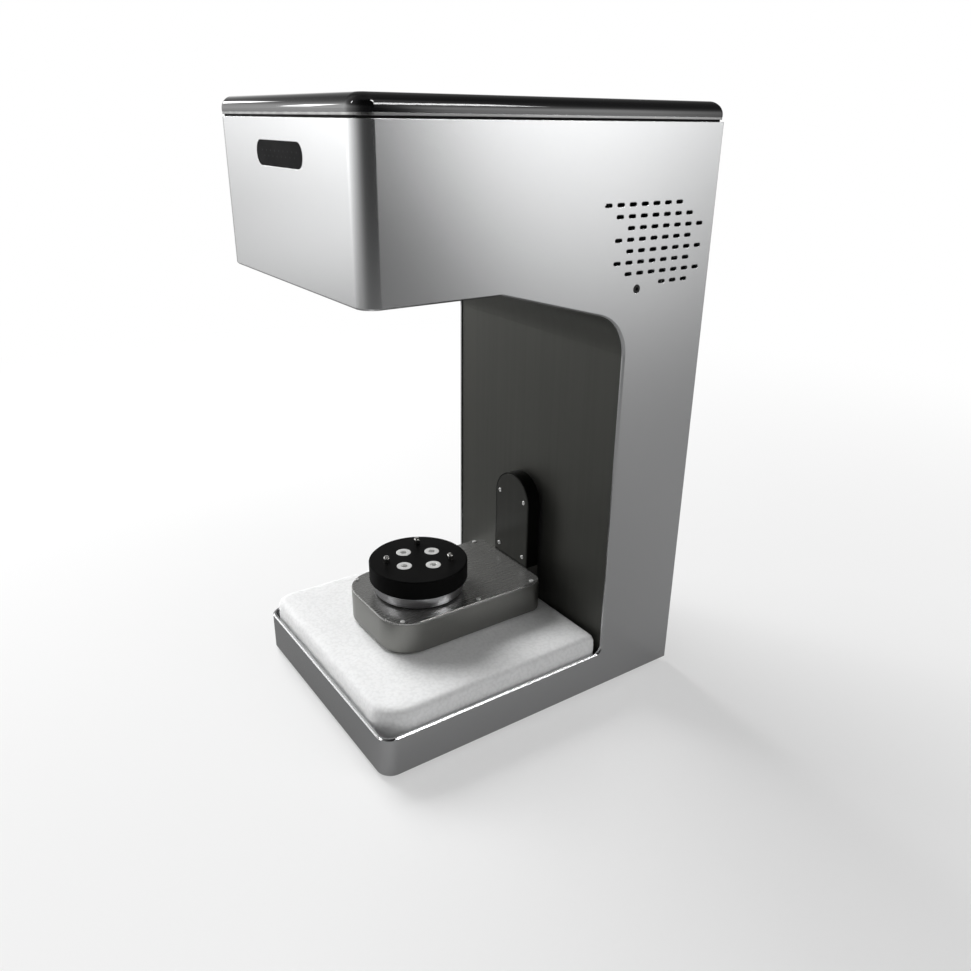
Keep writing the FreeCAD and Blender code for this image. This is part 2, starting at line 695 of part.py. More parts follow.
# ---------------------------------------------------------------- throat outline
def throat_edges(offset, bottom, corner_r, x):
    """Side outline of the throat, grown by an offset into the material, at one x."""
    front = FRONT - OVERSHOOT
    back = CHEEK_Y + offset
    top = UNDERSIDE_Z + offset
    radius = THROAT_CORNER_R + offset
    kink_y = SLOPE_Y + offset * math.sin(SLOPE) - offset * math.tan(SLOPE / 2) * math.cos(SLOPE)
    lean = math.pi / 2 - SLOPE
    half = lean / 2

    def point(y, z):
        return Vector(x, y, z)

    arc_low = point(ARC_Y + radius, ARC_Z)
    arc_mid = point(ARC_Y + radius * math.cos(half), ARC_Z + radius * math.sin(half))
    arc_high = point(ARC_Y + radius * math.cos(lean), ARC_Z + radius * math.sin(lean))
    kink = point(kink_y, top)
    start = point(front, bottom)
    edges = [Part.Arc(arc_low, arc_mid, arc_high).toShape()]
    edges.append(Part.LineSegment(arc_high, kink).toShape())
    edges.append(Part.LineSegment(kink, point(front, top)).toShape())
    edges.append(Part.LineSegment(point(front, top), start).toShape())
    if corner_r > 0:
        low = point(back - corner_r, bottom)
        high = point(back, bottom + corner_r)
        cut = corner_r * (1 - math.sqrt(0.5))
        middle = point(back - cut, bottom + cut)
        edges.append(Part.LineSegment(start, low).toShape())
        edges.append(Part.Arc(low, middle, high).toShape())
        edges.append(Part.LineSegment(high, arc_low).toShape())
    else:
        edges.append(Part.LineSegment(start, point(back, bottom)).toShape())
        edges.append(Part.LineSegment(point(back, bottom), arc_low).toShape())
    return edges


def throat_prism(offset, bottom, corner_r=0.0):
    """Solid that fills the throat from side to side, grown by an offset."""
    reach = SIDE + THROUGH
    wire = Part.Wire(Part.__sortEdges__(throat_edges(offset, bottom, corner_r, -reach)))
    return Part.Face(wire).extrude(Vector(2 * reach, 0, 0))


def aim(shape, toe=0.0):
    """Turns a shape built above the target, along +Z, onto an optical axis."""
    turned = shape.copy()
    turned.rotate(TARGET, Vector(0, 1, 0), toe)
    turned.rotate(TARGET, Vector(1, 0, 0), -SLOPE_ANGLE)
    return turned


def above_target(xs, ys, ds, radius=0.0):
    """Rounded block at distances ds above the target, before it is aimed."""
    zs = (SWING_HEIGHT + ds[0], SWING_HEIGHT + ds[1])
    shifted = (TURNTABLE_Y + ys[0], TURNTABLE_Y + ys[1])
    return even_prism("z", xs, shifted, zs, radius)


def rod_above_target(radius, d0, d1, x=0.0, y=0.0):
    """Cylinder at distances d0 to d1 above the target, before it is aimed."""
    return rod("z", x, TURNTABLE_Y + y, radius, SWING_HEIGHT + d0, SWING_HEIGHT + d1)


# ---------------------------------------------------------------- casing
def vent_slots():
    """Vent slots, cut through both cheeks at once."""
    slots = []
    for row, (first, last) in enumerate(VENT_ROWS):
        z = SHELL_TOP - VENT_TOP_DROP - row * VENT_PITCH_Z
        for column in range(first, last):
            y = CHEEK_Y - VENT_FIRST_FROM_CHEEK + column * VENT_PITCH_Y
            reach = SIDE + THROUGH
            slots.append(slot("x", y + VENT_LENGTH / 2, z, VENT_LENGTH, VENT_HEIGHT, -reach, reach))
    return slots


def main_shell():
    """One wrap of sheet: head front, cheeks and tray walls, with the throat cut through it."""
    outer = shell_plan(0, SHELL_BOTTOM, SHELL_TOP)
    inner = shell_plan(SHELL_WALL, SHELL_BOTTOM - THROUGH, SHELL_TOP + THROUGH, back=BACK + THROUGH)
    shell = outer.cut(inner).cut(throat_prism(0, RIM_Z, TRAY_CORNER_R))
    shell = chamfer_throat(shell, outer)
    pill = slot("y", 0, PILL_Z, PILL_LENGTH, PILL_HEIGHT, FRONT - THROUGH, INNER_FRONT + THROUGH)
    sinks = [
        countersink("x", SIDE_SCREW_Y, SIDE_SCREW_Z, side * SIDE, side,
                    SIDE_SCREW_HEAD_R, SIDE_SCREW_SINK, M3_R, SHELL_WALL + THROUGH)
        for side in (-1, 1)
    ]
    return [shell.cut([pill] + vent_slots() + sinks)]


def chamfer_throat(shell, outer):
    """Breaks the outer edge all the way round the throat."""
    walls = Part.Compound([face for face in outer.Faces if abs(face.normalAt(0, 0).z) < 0.5])
    picked = []
    for edge in shell.Edges:
        first, last = edge.ParameterRange
        points = [edge.valueAt(first + (last - first) * share) for share in (0.1, 0.5, 0.9)]
        if all(on_throat(point) and near(walls, point) for point in points):
            picked.append(edge)
    return shell.makeChamfer(EDGE_CHAMFER, picked)


def near(shape, point):
    """True where a point lies on a shape."""
    return shape.distToShape(Part.Vertex(point))[0] < 1e-4


def on_throat(point):
    """True where a point lies on the throat's cut surface."""
    outline = Part.Wire(Part.__sortEdges__(throat_edges(0, RIM_Z, TRAY_CORNER_R, point.x)))
    return near(outline, point)


def throat_liner():
    """Bent panel that closes the column and the head inside the throat."""
    below = FLOOR_Z - OVERSHOOT
    skin = throat_prism(LINER_RECESS + LINER_WALL, below).cut(throat_prism(LINER_RECESS, below))
    zone = shell_plan(SHELL_WALL + LINER_SIDE_GAP, FLOOR_Z, SHELL_TOP)
    opening = above_target((-WINDOW_LENGTH / 2, WINDOW_LENGTH / 2), (-WINDOW_WIDTH / 2, WINDOW_WIDTH / 2),
                           (WINDOW_D - THROUGH, GLASS_D + THROUGH), WINDOW_CORNER_R)
    hub_hole = rod("y", 0, SWING_HEIGHT, LINER_HOLE_R, LINER_FRONT - THROUGH, LINER_BACK + THROUGH)
    return [skin.common(zone).cut([aim(opening), hub_hole])]


def rear_panel():
    """Back sheet with the fan grille, a lower vent row and the socket cut-outs."""
    half = INNER_SIDE - PANEL_GAP
    sheet = box((-half, half), (REAR_INNER, REAR_OUTER), (FLOOR_Z + PANEL_GAP, SHELL_TOP))
    cuts = grille_slots() + lower_vents()
    reach = (REAR_INNER - THROUGH, REAR_OUTER + THROUGH)
    width, height, _ = INLET_BODY
    cuts.append(even_prism("y", around(INLET_X, width / 2 + PLUG_FIT),
                           around(INLET_Z, height / 2 + PLUG_FIT), reach, INLET_CORNER_R))
    cuts.append(even_prism("y", around(DATA_X, DATA_SIZE[0] / 2 + PLUG_FIT),
                           around(DATA_Z, DATA_SIZE[1] / 2 + PLUG_FIT), reach, DATA_CORNER_R))
    for x, z in rear_screw_places():
        cuts.append(rod("y", x, z, M3_R + PLUG_FIT, *reach))
    for x, z in fan_hole_places():
        cuts.append(rod("y", x, z, FAN_HOLE_R + PLUG_FIT, *reach))
    return [sheet.cut(cuts)]


def around(centre, half):
    """Range of a given half width about a centre."""
    return (centre - half, centre + half)


def grille_slots():
    """Slots in rows across the fan's circle, split by a middle rib."""
    slots = []
    rows = int(FAN_ROTOR_R // GRILLE_PITCH)
    for row in range(-rows, rows + 1):
        half_chord = math.sqrt(FAN_ROTOR_R ** 2 - (row * GRILLE_PITCH) ** 2)
        length = half_chord - GRILLE_RIB
        for side in (-1, 1):
            x = side * (GRILLE_RIB / 2 + length / 2)
            slots.append(slot("y", x, FAN_HEIGHT + row * GRILLE_PITCH, length, GRILLE_SLOT,
                              REAR_INNER - THROUGH, REAR_OUTER + THROUGH))
    return slots


def lower_vents():
    """Upright slots behind the power supply."""
    slots = []
    zs = (FLOOR_Z + LOWER_VENT_RANGE[0], FLOOR_Z + LOWER_VENT_RANGE[1])
    reach = (REAR_INNER - THROUGH, REAR_OUTER + THROUGH)
    for index in range(LOWER_VENT_COUNT):
        step = index - (LOWER_VENT_COUNT - 1) / 2
        x = (SUPPLY_LEFT + SUPPLY_RIGHT) / 2 + step * LOWER_VENT_PITCH
        slots.append(even_prism("y", around(x, GRILLE_SLOT / 2), zs, reach, GRILLE_SLOT / 2 * ALMOST))
    return slots


def rear_screw_places():
    """Centres of the rear panel's screws."""
    return [(side * REAR_SCREW_X, z) for side in (-1, 1) for z in REAR_SCREW_ZS]


def fan_hole_places():
    """Centres of the fan's corner holes."""
    return [(x, FAN_HEIGHT + z) for x in (-FAN_HOLE_OFFSET, FAN_HOLE_OFFSET)
            for z in (-FAN_HOLE_OFFSET, FAN_HOLE_OFFSET)]


def rear_panel_screws():
    """Screws that hold the rear panel to the spine's tabs, and the fan to the rear panel."""
    length = REAR_WALL + REAR_TAB_THICK
    screws = [screw("y", x, z, REAR_OUTER, 1, M3_HEAD_R, M3_HEAD_HEIGHT, M3_R, length)
              for x, z in rear_screw_places()]
    screws += [screw("y", x, z, REAR_OUTER, 1, FAN_SCREW_HEAD_R, FAN_SCREW_HEAD_HEIGHT,
                     FAN_HOLE_R - RUNNING_FIT, FAN_SCREW_LENGTH) for x, z in fan_hole_places()]
    return screws


def base_plate():
    """Floor of the tray and of the column, inside the shell's bottom edge."""
    plate = shell_plan(SHELL_WALL + PANEL_GAP, SHELL_BOTTOM, FLOOR_Z, back=REAR_OUTER)
    return [plate]


def rubber_feet():
    """Four tapered feet under the base plate."""
    return [
        cone("z", x, y, FOOT_R - FOOT_TAPER, FOOT_R, 0, FOOT_HEIGHT)
        for x in (-SIDE + FOOT_INSET, SIDE - FOOT_INSET)
        for y in (FRONT + FOOT_INSET, BACK - FOOT_INSET)
    ]


def tray_pad():
    """Soft foam pad that fills the tray and stands above its rim."""
    half = INNER_SIDE - PAD_SIDE_GAP
    ys = (INNER_FRONT + PAD_FRONT_GAP, CHEEK_Y - PAD_BACK_GAP)
    zs = (FLOOR_Z + SOFT_GAP, RIM_Z + PAD_TOP_OVER_RIM)
    radii = (PAD_FRONT_CORNER_R, PAD_FRONT_CORNER_R, PAD_BACK_CORNER_R, PAD_BACK_CORNER_R)
    pad = rounded_prism("z", (-half, half), ys, zs, radii)
    rim = [edge for edge in pad.Edges if abs(edge.BoundBox.ZMin - zs[1]) < 1e-4]
    return [pad.makeFillet(PAD_EDGE_R, rim)]


# ---------------------------------------------------------------- lid
def band(inset, width, z0, z1):
    """Flat frame that follows the shell's plan outline."""
    hole = shell_plan(inset + width, z0 - THROUGH, z1 + THROUGH, COVER_BACK_CORNER_R)
    return shell_plan(inset, z0, z1, COVER_BACK_CORNER_R).cut(hole)


def lid_seal():
    """Dark seal on the shell's top edge, set in to leave a shadow gap."""
    return [band(SEAL_INSET, SEAL_BAND, SHELL_TOP, SEAL_TOP)]


def lid_trim():
    """Thin light strip between the seal and the top cover."""
    return [band(TRIM_INSET, TRIM_BAND, SEAL_TOP, TRIM_TOP)]


def top_cover():
    """Gloss cap with rounded top edges and four screw bosses under it."""
    cap = shell_plan(0, TRIM_TOP, COVER_TOP, COVER_BACK_CORNER_R)
    rim = [edge for edge in cap.Edges if abs(edge.BoundBox.ZMin - COVER_TOP) < 1e-4]
    cap = cap.makeFillet(COVER_EDGE_R, rim)
    hollow = shell_plan(COVER_WALL + COVER_SIDE_EXTRA, TRIM_TOP - THROUGH, COVER_TOP - COVER_WALL,
                        COVER_BACK_CORNER_R)
    cap = cap.cut(hollow)
    bosses = []
    for x, y in lid_boss_places():
        boss = rod("z", x, y, COVER_BOSS_R, BRACKET_TOP, COVER_TOP - COVER_WALL + COVER_BOSS_MERGE)
        bore = rod("z", x, y, M3_R + RUNNING_FIT, BRACKET_TOP - THROUGH, BRACKET_TOP + LID_SCREW_LENGTH)
        bosses.append(boss.cut(bore))
    return [join([cap] + bosses)]


def lid_boss_places():
    """Centres of the lid's screw bosses."""
    return [(side * LID_BOSS_X, y) for side in (-1, 1) for y in LID_BOSS_YS]


def lid_screws():
    """Screws that pull the lid down from inside the head."""
    seat = BRACKET_TOP - BRACKET_WALL
    return [screw("z", x, y, seat, -1, M3_HEAD_R, M3_HEAD_HEIGHT, M3_R, LID_SCREW_LENGTH)
            for x, y in lid_boss_places()]


def side_screws():
    """Countersunk screw in each cheek, into the head bracket's boss."""
    return [
        flat_screw("x", SIDE_SCREW_Y, SIDE_SCREW_Z, side * SIDE, side,
                   SIDE_SCREW_HEAD_R, SIDE_SCREW_SINK, M3_R, SIDE_SCREW_LENGTH)
        for side in (-1, 1)
    ]


# ---------------------------------------------------------------- indicator
def indicator_window():
    """Smoked pill window with a flange behind the wall and pegs for its board."""
    pill = slot("y", 0, PILL_Z, PILL_LENGTH - 2 * PLUG_FIT, PILL_HEIGHT - 2 * PLUG_FIT,
                FRONT + PILL_SINK, INNER_FRONT)
    flange = slot("y", 0, PILL_Z, PILL_LENGTH + 2 * PILL_FLANGE, PILL_HEIGHT + 2 * PILL_FLANGE,
                  INNER_FRONT, INNER_FRONT + PILL_FLANGE_THICK)
    peg_x = PILL_LENGTH / 2 - PEG_FROM_END
    peg_z = PILL_HEIGHT / 2 + PILL_FLANGE - PEG_FROM_EDGE
    pegs = [
        rod("y", x, PILL_Z + z, PEG_R, INNER_FRONT + PILL_FLANGE_THICK, board_face())
        for x in (-peg_x, peg_x) for z in (-peg_z, peg_z)
    ]
    return [join([pill, flange] + pegs)]


def board_face():
    """Front face of the indicator board."""
    return INNER_FRONT + PILL_FLANGE_THICK + LAMP_BOARD_GAP


def indicator_board():
    """Small circuit board with a row of lamps behind the pill window."""
    face = board_face()
    zs = around(PILL_Z, PILL_HEIGHT / 2 + PILL_FLANGE)
    board = even_prism("y", around(0, PILL_LENGTH / 2), zs, (face, face + BOARD_THICK),
                       LAMP_BOARD_CORNER_R)
    step = PILL_LENGTH / (LED_COUNT + 2)
    width, depth, height = LED_SIZE
    lamps = [
        box(around((index - (LED_COUNT - 1) / 2) * step, width / 2), (face - depth, face),
            around(PILL_Z, height / 2))
        for index in range(LED_COUNT)
    ]
    back = face + BOARD_THICK
    plug = box(around(0, LAMP_PLUG[0] / 2), (back, back + LAMP_PLUG[1]), around(PILL_Z, LAMP_PLUG[2] / 2))
    return [join([board, plug] + lamps)]


# ---------------------------------------------------------------- frame
def spine_frame():
    """Upright channel that carries the swing drive, the boards and the head."""
    inner = SPINE_SIDE - SPINE_FLANGE_WALL
    parts = [box((-SPINE_SIDE, SPINE_SIDE), (SPINE_FRONT, SPINE_BACK), (FLOOR_Z, SPINE_TOP))]
    foot_ys = (SPINE_BACK, SPINE_BACK + SPINE_FOOT_DEPTH)
    parts.append(box(around(0, inner), foot_ys, (FLOOR_Z, FLOOR_Z + SPINE_WALL)))
    for side in (-1, 1):
        flange_xs = sorted((side * inner, side * SPINE_SIDE))
        parts.append(box(flange_xs, (SPINE_FRONT, REAR_INNER), (FLOOR_Z, SPINE_TOP)))
        tab_xs = sorted((side * (inner - REAR_TAB[0]), side * inner))
        for z in REAR_SCREW_ZS:
            parts.append(box(tab_xs, (REAR_INNER - REAR_TAB_THICK, REAR_INNER), around(z, REAR_TAB[1] / 2)))
    cuts = [rod("y", 0, SWING_HEIGHT, HOUSING_R + RUNNING_FIT, SPINE_FRONT - THROUGH, SPINE_BACK + THROUGH)]
    for x, z in rear_screw_places():
        cuts.append(rod("y", x, z, M3_R + RUNNING_FIT, REAR_INNER - 2 * REAR_TAB_THICK, REAR_INNER + THROUGH))
    cuts += [rod("x", y, z, M3_R + RUNNING_FIT, -SIDE, SIDE) for y, z in frame_screw_places()]
    return [join(parts).cut(cuts)]


def frame_screw_places():
    """Centres of the screws between each head bracket and the spine."""
    z = (BRACKET_STRIP_BOTTOM + SPINE_TOP) / 2
    return [(SPINE_FRONT + FRAME_SCREW_INSET, z), (REAR_INNER - FRAME_SCREW_INSET, z)]


def frame_screws():
    """Low-headed screws between the head brackets and the spine."""
    length = BRACKET_WALL + SPINE_FLANGE_WALL
    return [screw("x", y, z, side * BRACKET_OUTER, side, M3_HEAD_R, M3_HEAD_LOW, M3_R, length)
            for side in (-1, 1) for y, z in frame_screw_places()]


def head_bracket():
    """Right-hand side plate of the head, bolted outside the spine's flange."""
    zs = (BRACKET_STRIP_BOTTOM, BRACKET_TOP)
    plate = box((BRACKET_INNER, BRACKET_OUTER), (BRACKET_FRONT, REAR_INNER), zs)
    notch = box((BRACKET_INNER - THROUGH, BRACKET_OUTER + THROUGH), (BRACKET_SHOULDER, BACK),
                (SPINE_TOP, BRACKET_TOP + THROUGH))
    flange = box((BRACKET_INNER - BRACKET_FLANGE, BRACKET_INNER), (BRACKET_FRONT, BRACKET_SHOULDER),
                 (BRACKET_TOP - BRACKET_WALL, BRACKET_TOP))
    boss = rod("x", SIDE_SCREW_Y, SIDE_SCREW_Z, BRACKET_BOSS_R, BRACKET_OUTER, INNER_SIDE)
    throat = throat_prism(BRACKET_LINER_GAP, BRACKET_STRIP_BOTTOM - BRACKET_STRIP)
    solid = join([plate.cut(throat).cut(notch), flange, boss])
    cuts = [rod("x", SIDE_SCREW_Y, SIDE_SCREW_Z, M3_R + RUNNING_FIT, BRACKET_INNER - THROUGH, SIDE)]
    cuts += [rod("x", y, z, M3_R + RUNNING_FIT, BRACKET_INNER - THROUGH, SIDE) for y, z in frame_screw_places()]
    for y in LID_BOSS_YS:
        cuts.append(rod("z", LID_BOSS_X, y, M3_R + RUNNING_FIT, BRACKET_TOP - 2 * BRACKET_WALL,
                        BRACKET_TOP + THROUGH))
    return solid.cut(cuts)


def optical_bench():
    """Plate parallel to the window that holds the projector and cameras true to each other."""
    xs = (-BRACKET_INNER, BRACKET_INNER)
    ys = (-BENCH_HALF_LENGTH, BENCH_HALF_LENGTH)
    plate = aim(above_target(xs, ys, (BENCH_D, BENCH_TOP_D), BENCH_CORNER_R))
    lens_hole = aim(rod_above_target(PROJECTOR_LENS_R + LENS_HOLE_GAP, BENCH_D - THROUGH,
                                     BENCH_TOP_D + THROUGH))
    cuts = [lens_hole]
    for toe in (-CAMERA_TOE, CAMERA_TOE):
        cuts.append(aim(rod_above_target(CAMERA_LENS_R + LENS_HOLE_GAP, WINDOW_D, CAMERA_D), toe))
    posts = [
        aim(rod_above_target(PROJECTOR_POST_R, BENCH_TOP_D, PROJECTOR_D, x, y))
        for x in (PROJECTOR_POST_INSET - PROJECTOR_SIZE[0] / 2, PROJECTOR_SIZE[0] / 2 - PROJECTOR_POST_INSET)
        for y in (PROJECTOR_POST_INSET - PROJECTOR_SIZE[1] / 2, PROJECTOR_SIZE[1] / 2 - PROJECTOR_POST_INSET)
    ]
    return [join([plate.cut(cuts)] + posts)]


def camera_mount():
    """Right-hand wedge that sets a camera at its toe-in angle on the bench."""
    xs = (CAMERA_X - CAMERA_SIDE / 2 - MOUNT_OUTER_LIP, CAMERA_X + CAMERA_SIDE / 2 + MOUNT_INNER_LIP)
    half = CAMERA_SIDE / 2 + MOUNT_SIDE_LIP
    block = aim(above_target(xs, (-half, half), (BENCH_TOP_D, CAMERA_D + CAMERA_LENGTH), MOUNT_OUTER_LIP / 2))
    reach = (-MOUNT_REACH, MOUNT_REACH)
    above = aim(above_target(reach, reach, (CAMERA_D, CAMERA_D + MOUNT_REACH)), CAMERA_TOE)
    barrel = aim(rod_above_target(CAMERA_LENS_R + MOUNT_BARREL_GAP, WINDOW_D, CAMERA_D + CAMERA_LENGTH),
                 CAMERA_TOE)
    return block.cut([above, barrel])


def camera_body():
    """Right-hand camera, with a connector on its back."""
    half = CAMERA_SIDE / 2
    body = above_target((-half, half), (-half, half), (CAMERA_D, CAMERA_D + CAMERA_LENGTH), CAMERA_CORNER_R)
    back = CAMERA_D + CAMERA_LENGTH
    plug = above_target(around(0, CAMERA_PLUG[0] / 2), around(0, CAMERA_PLUG[1] / 2),
                        (back, back + CAMERA_PLUG[2]))
    return aim(join([body, plug]), CAMERA_TOE)


def lens_barrel(radius, d0, length):
    """Stepped lens barrel with a dished front, before it is aimed."""
    step = d0 + length * LENS_STEP_SHARE
    floor = d0 + LENS_DISH_DEPTH
    rear = rod_above_target(radius * LENS_REAR_SHARE, step, d0 + length)
    front = rod_above_target(radius, d0, step)
    dish = rod_above_target(radius * LENS_DISH_SHARE, d0 - THROUGH, floor)
    glass = rod_above_target(radius * LENS_GLASS_SHARE, floor - LENS_GLASS_THICK, floor)
    return join([rear, front.cut(dish), glass])


def camera_lens():
    """Right-hand camera lens."""
    return aim(lens_barrel(CAMERA_LENS_R, CAMERA_LENS_D, CAMERA_LENS_LENGTH), CAMERA_TOE)


def projector_lens():
    """Pattern projector's lens."""
    return [aim(lens_barrel(PROJECTOR_LENS_R, PROJECTOR_LENS_D, PROJECTOR_LENS_LENGTH))]


def projector_body():
    """Pattern projector, with cooling ribs on its back."""
    width, length, height = PROJECTOR_SIZE
    top = PROJECTOR_D + height
    root = top - PROJECTOR_RIB_HEIGHT
    body = above_target(around(0, width / 2), around(0, length / 2), (PROJECTOR_D, root), PROJECTOR_CORNER_R)
    steps = int((width / 2 - PROJECTOR_CORNER_R) // PROJECTOR_RIB_PITCH)
    ribs = [
        above_target(around(index * PROJECTOR_RIB_PITCH, PROJECTOR_RIB_THICK / 2),
                     around(0, length / 2 - PROJECTOR_RIB_INSET), (root, top))
        for index in range(-steps, steps + 1)
    ]
    return [aim(join([body] + ribs))]


def optical_window():
    """Dark glass over the slope's opening, seated on the liner."""
    xs = around(0, WINDOW_LENGTH / 2 + GLASS_LAP)
    ys = around(0, WINDOW_WIDTH / 2 + GLASS_LAP)
    return [aim(above_target(xs, ys, (GLASS_D, RETAINER_D), WINDOW_CORNER_R))]


def window_retainer():
    """Frame that clamps the window's edge."""
    xs = around(0, WINDOW_LENGTH / 2 + GLASS_LAP)
    ys = around(0, WINDOW_WIDTH / 2 + GLASS_LAP)
    ds = (RETAINER_D, RETAINER_D + RETAINER_THICK)
    frame = above_target(xs, ys, ds, WINDOW_CORNER_R)
    hole = above_target((xs[0] + RETAINER_BAND, xs[1] - RETAINER_BAND),
                        (ys[0] + RETAINER_BAND, ys[1] - RETAINER_BAND),
                        (ds[0] - THROUGH, ds[1] + THROUGH), WINDOW_CORNER_R - RETAINER_BAND / 2)
    return [aim(frame.cut(hole))]


# ---------------------------------------------------------------- electronics
def control_board():
    """Main circuit board on four standoffs behind the spine."""
    face = SPINE_BACK + STANDOFF_HEIGHT
    back = face + BOARD_THICK
    middle = (BOARD_BOTTOM + BOARD_TOP) / 2
    parts = [even_prism("y", around(0, BOARD_WIDTH / 2), (BOARD_BOTTOM, BOARD_TOP), (face, back),
                        BOARD_CORNER_R)]
    parts.append(box(around(CHIP_X, CHIP_SIDE / 2), (back, back + CHIP_HEIGHT), around(middle, CHIP_SIDE / 2)))
    width, height, depth = MEMORY_SIZE
    parts.append(box(around(MEMORY_X, width / 2), (back, back + depth),
                     around(middle + MEMORY_RISE, height / 2)))
    for index in range(CAPACITOR_COUNT):
        x = CAPACITOR_FIRST_X + index * CAPACITOR_PITCH
        parts.append(rod("y", x, BOARD_BOTTOM + CAPACITOR_INSET, CAPACITOR_R, back, back + CAPACITOR_HEIGHT))
    width, height, depth = HEADER_SIZE
    for index in range(HEADER_COUNT):
        x = HEADER_FIRST_X + index * HEADER_PITCH
        parts.append(box(around(x, width / 2), (back, back + depth),
                         around(BOARD_TOP - HEADER_INSET, height / 2)))
    solids = [join(parts)]
    for x in (-STANDOFF_X, STANDOFF_X):
        for z in STANDOFF_ZS:
            solids.append(rod("y", x, z, STANDOFF_R, SPINE_BACK, face))
    return solids


def power_supply():
    """Cased power supply on the base plate, slotted on top."""
    ys = (REAR_INNER - SUPPLY_FROM_PANEL - SUPPLY_DEPTH, REAR_INNER - SUPPLY_FROM_PANEL)
    top = FLOOR_Z + SUPPLY_HEIGHT
    case = even_prism("z", (SUPPLY_LEFT, SUPPLY_RIGHT), ys, (FLOOR_Z, top), SUPPLY_CORNER_R)
    inset_x, inset_y = SUPPLY_SLOT_INSET
    count = int((SUPPLY_RIGHT - SUPPLY_LEFT - 2 * inset_x) // SUPPLY_SLOT_PITCH) + 1
    slots = [
        even_prism("z", around(SUPPLY_LEFT + inset_x + index * SUPPLY_SLOT_PITCH, SUPPLY_SLOT / 2),
                   (ys[0] + inset_y, ys[1] - inset_y), (top - SUPPLY_SLOT_DEPTH, top + THROUGH),
                   SUPPLY_SLOT / 2 * ALMOST)
        for index in range(count)
    ]
    return [case.cut(slots)]


def socket_cavity(size, face, depth):
    """Hollow of the mains inlet, with two bevelled corners."""
    width, height = size
    x = INLET_X + SOCKET_OFFSET
    points = [
        (x - width / 2, INLET_Z - height / 2),
        (x + width / 2, INLET_Z - height / 2),
        (x + width / 2, INLET_Z + height / 2 - SOCKET_CORNER),
        (x + width / 2 - SOCKET_CORNER, INLET_Z + height / 2),
        (x - width / 2 + SOCKET_CORNER, INLET_Z + height / 2),
        (x - width / 2, INLET_Z + height / 2 - SOCKET_CORNER),
    ]
    corners = [Vector(px, face - depth, pz) for px, pz in points]
    outline = Part.Face(Part.makePolygon(corners + corners[:1]))
    return outline.extrude(Vector(0, depth + THROUGH, 0))


def power_inlet():
    """Moulded module: mains inlet on one side, switch well on the other."""
    width, height, depth = INLET_BODY
    body = even_prism("y", around(INLET_X, width / 2), around(INLET_Z, height / 2),
                      (REAR_OUTER - depth, INLET_FACE), INLET_CORNER_R)
    flange = even_prism("y", around(INLET_X, width / 2 + INLET_FLANGE),
                        around(INLET_Z, height / 2 + INLET_FLANGE), (REAR_OUTER, INLET_FACE),
                        INLET_FLANGE_CORNER_R)
    cavity = socket_cavity(SOCKET_SIZE[:2], INLET_FACE, SOCKET_SIZE[2])
    well_x = INLET_X + ROCKER_OFFSET
    half_x = ROCKER_SIZE[0] / 2 + ROCKER_GAP
    half_z = ROCKER_SIZE[1] / 2 + 2 * ROCKER_GAP
    well = box(around(well_x, half_x), (INLET_FACE - ROCKER_WELL, INLET_FACE + THROUGH),
               around(INLET_Z, half_z))
    pivot = rod("x", rocker_pivot_y(), INLET_Z, ROCKER_PIN_R + ROCKER_PIN_FIT,
                well_x - half_x - ROCKER_PIN_LENGTH, well_x + half_x + ROCKER_PIN_LENGTH)
    return [join([body, flange]).cut([cavity, well, pivot])]


def rocker_pivot_y():
    """How far back the rocker's pivot lies."""
    return INLET_FACE - ROCKER_PIVOT_DEPTH


def inlet_blades():
    """Two line blades and the earth blade inside the mains inlet."""
    width, height, length = BLADE_SIZE
    x = INLET_X + SOCKET_OFFSET
    root = INLET_FACE - SOCKET_SIZE[2]
    places = ((-BLADE_SPREAD, BLADE_LOW), (BLADE_SPREAD, BLADE_LOW), (0.0, BLADE_HIGH))
    return [
        box(around(x + dx, width / 2), (root, root + length), around(INLET_Z + dz, height / 2))
        for dx, dz in places
    ]


def power_rocker():
    """See-saw switch cap on its two pivot stubs, tipped to off."""
    pivot_y = rocker_pivot_y()
    x = INLET_X + ROCKER_OFFSET
    half_z = ROCKER_SIZE[1] / 2
    crest = INLET_FACE + ROCKER_CREST
    back = pivot_y - ROCKER_BELOW_PIVOT
    bevel_y, bevel_z = ROCKER_BEVEL
    outline = [(crest, -half_z), (crest, half_z), (back + bevel_y, half_z), (back, half_z - bevel_z),
               (back, bevel_z - half_z), (back + bevel_y, -half_z)]
    left = x - ROCKER_SIZE[0] / 2
    corners = [Vector(left, y, INLET_Z + z) for y, z in outline]
    cap = Part.Face(Part.makePolygon(corners + corners[:1])).extrude(Vector(ROCKER_SIZE[0], 0, 0))
    sag = half_z ** 2 / (2 * ROCKER_DISH)
    hollow = rod("x", crest - ROCKER_DISH + sag, INLET_Z, sag, left - THROUGH, left + ROCKER_SIZE[0] + THROUGH)
    reach = ROCKER_SIZE[0] / 2 + ROCKER_PIN_LENGTH
    stub = rod("x", pivot_y, INLET_Z, ROCKER_PIN_R, x - reach, x + reach)
    rocker = join([cap.cut(hollow), stub])
    rocker.rotate(Vector(x, pivot_y, INLET_Z), Vector(1, 0, 0), ROCKER_TILT)
    return [rocker]


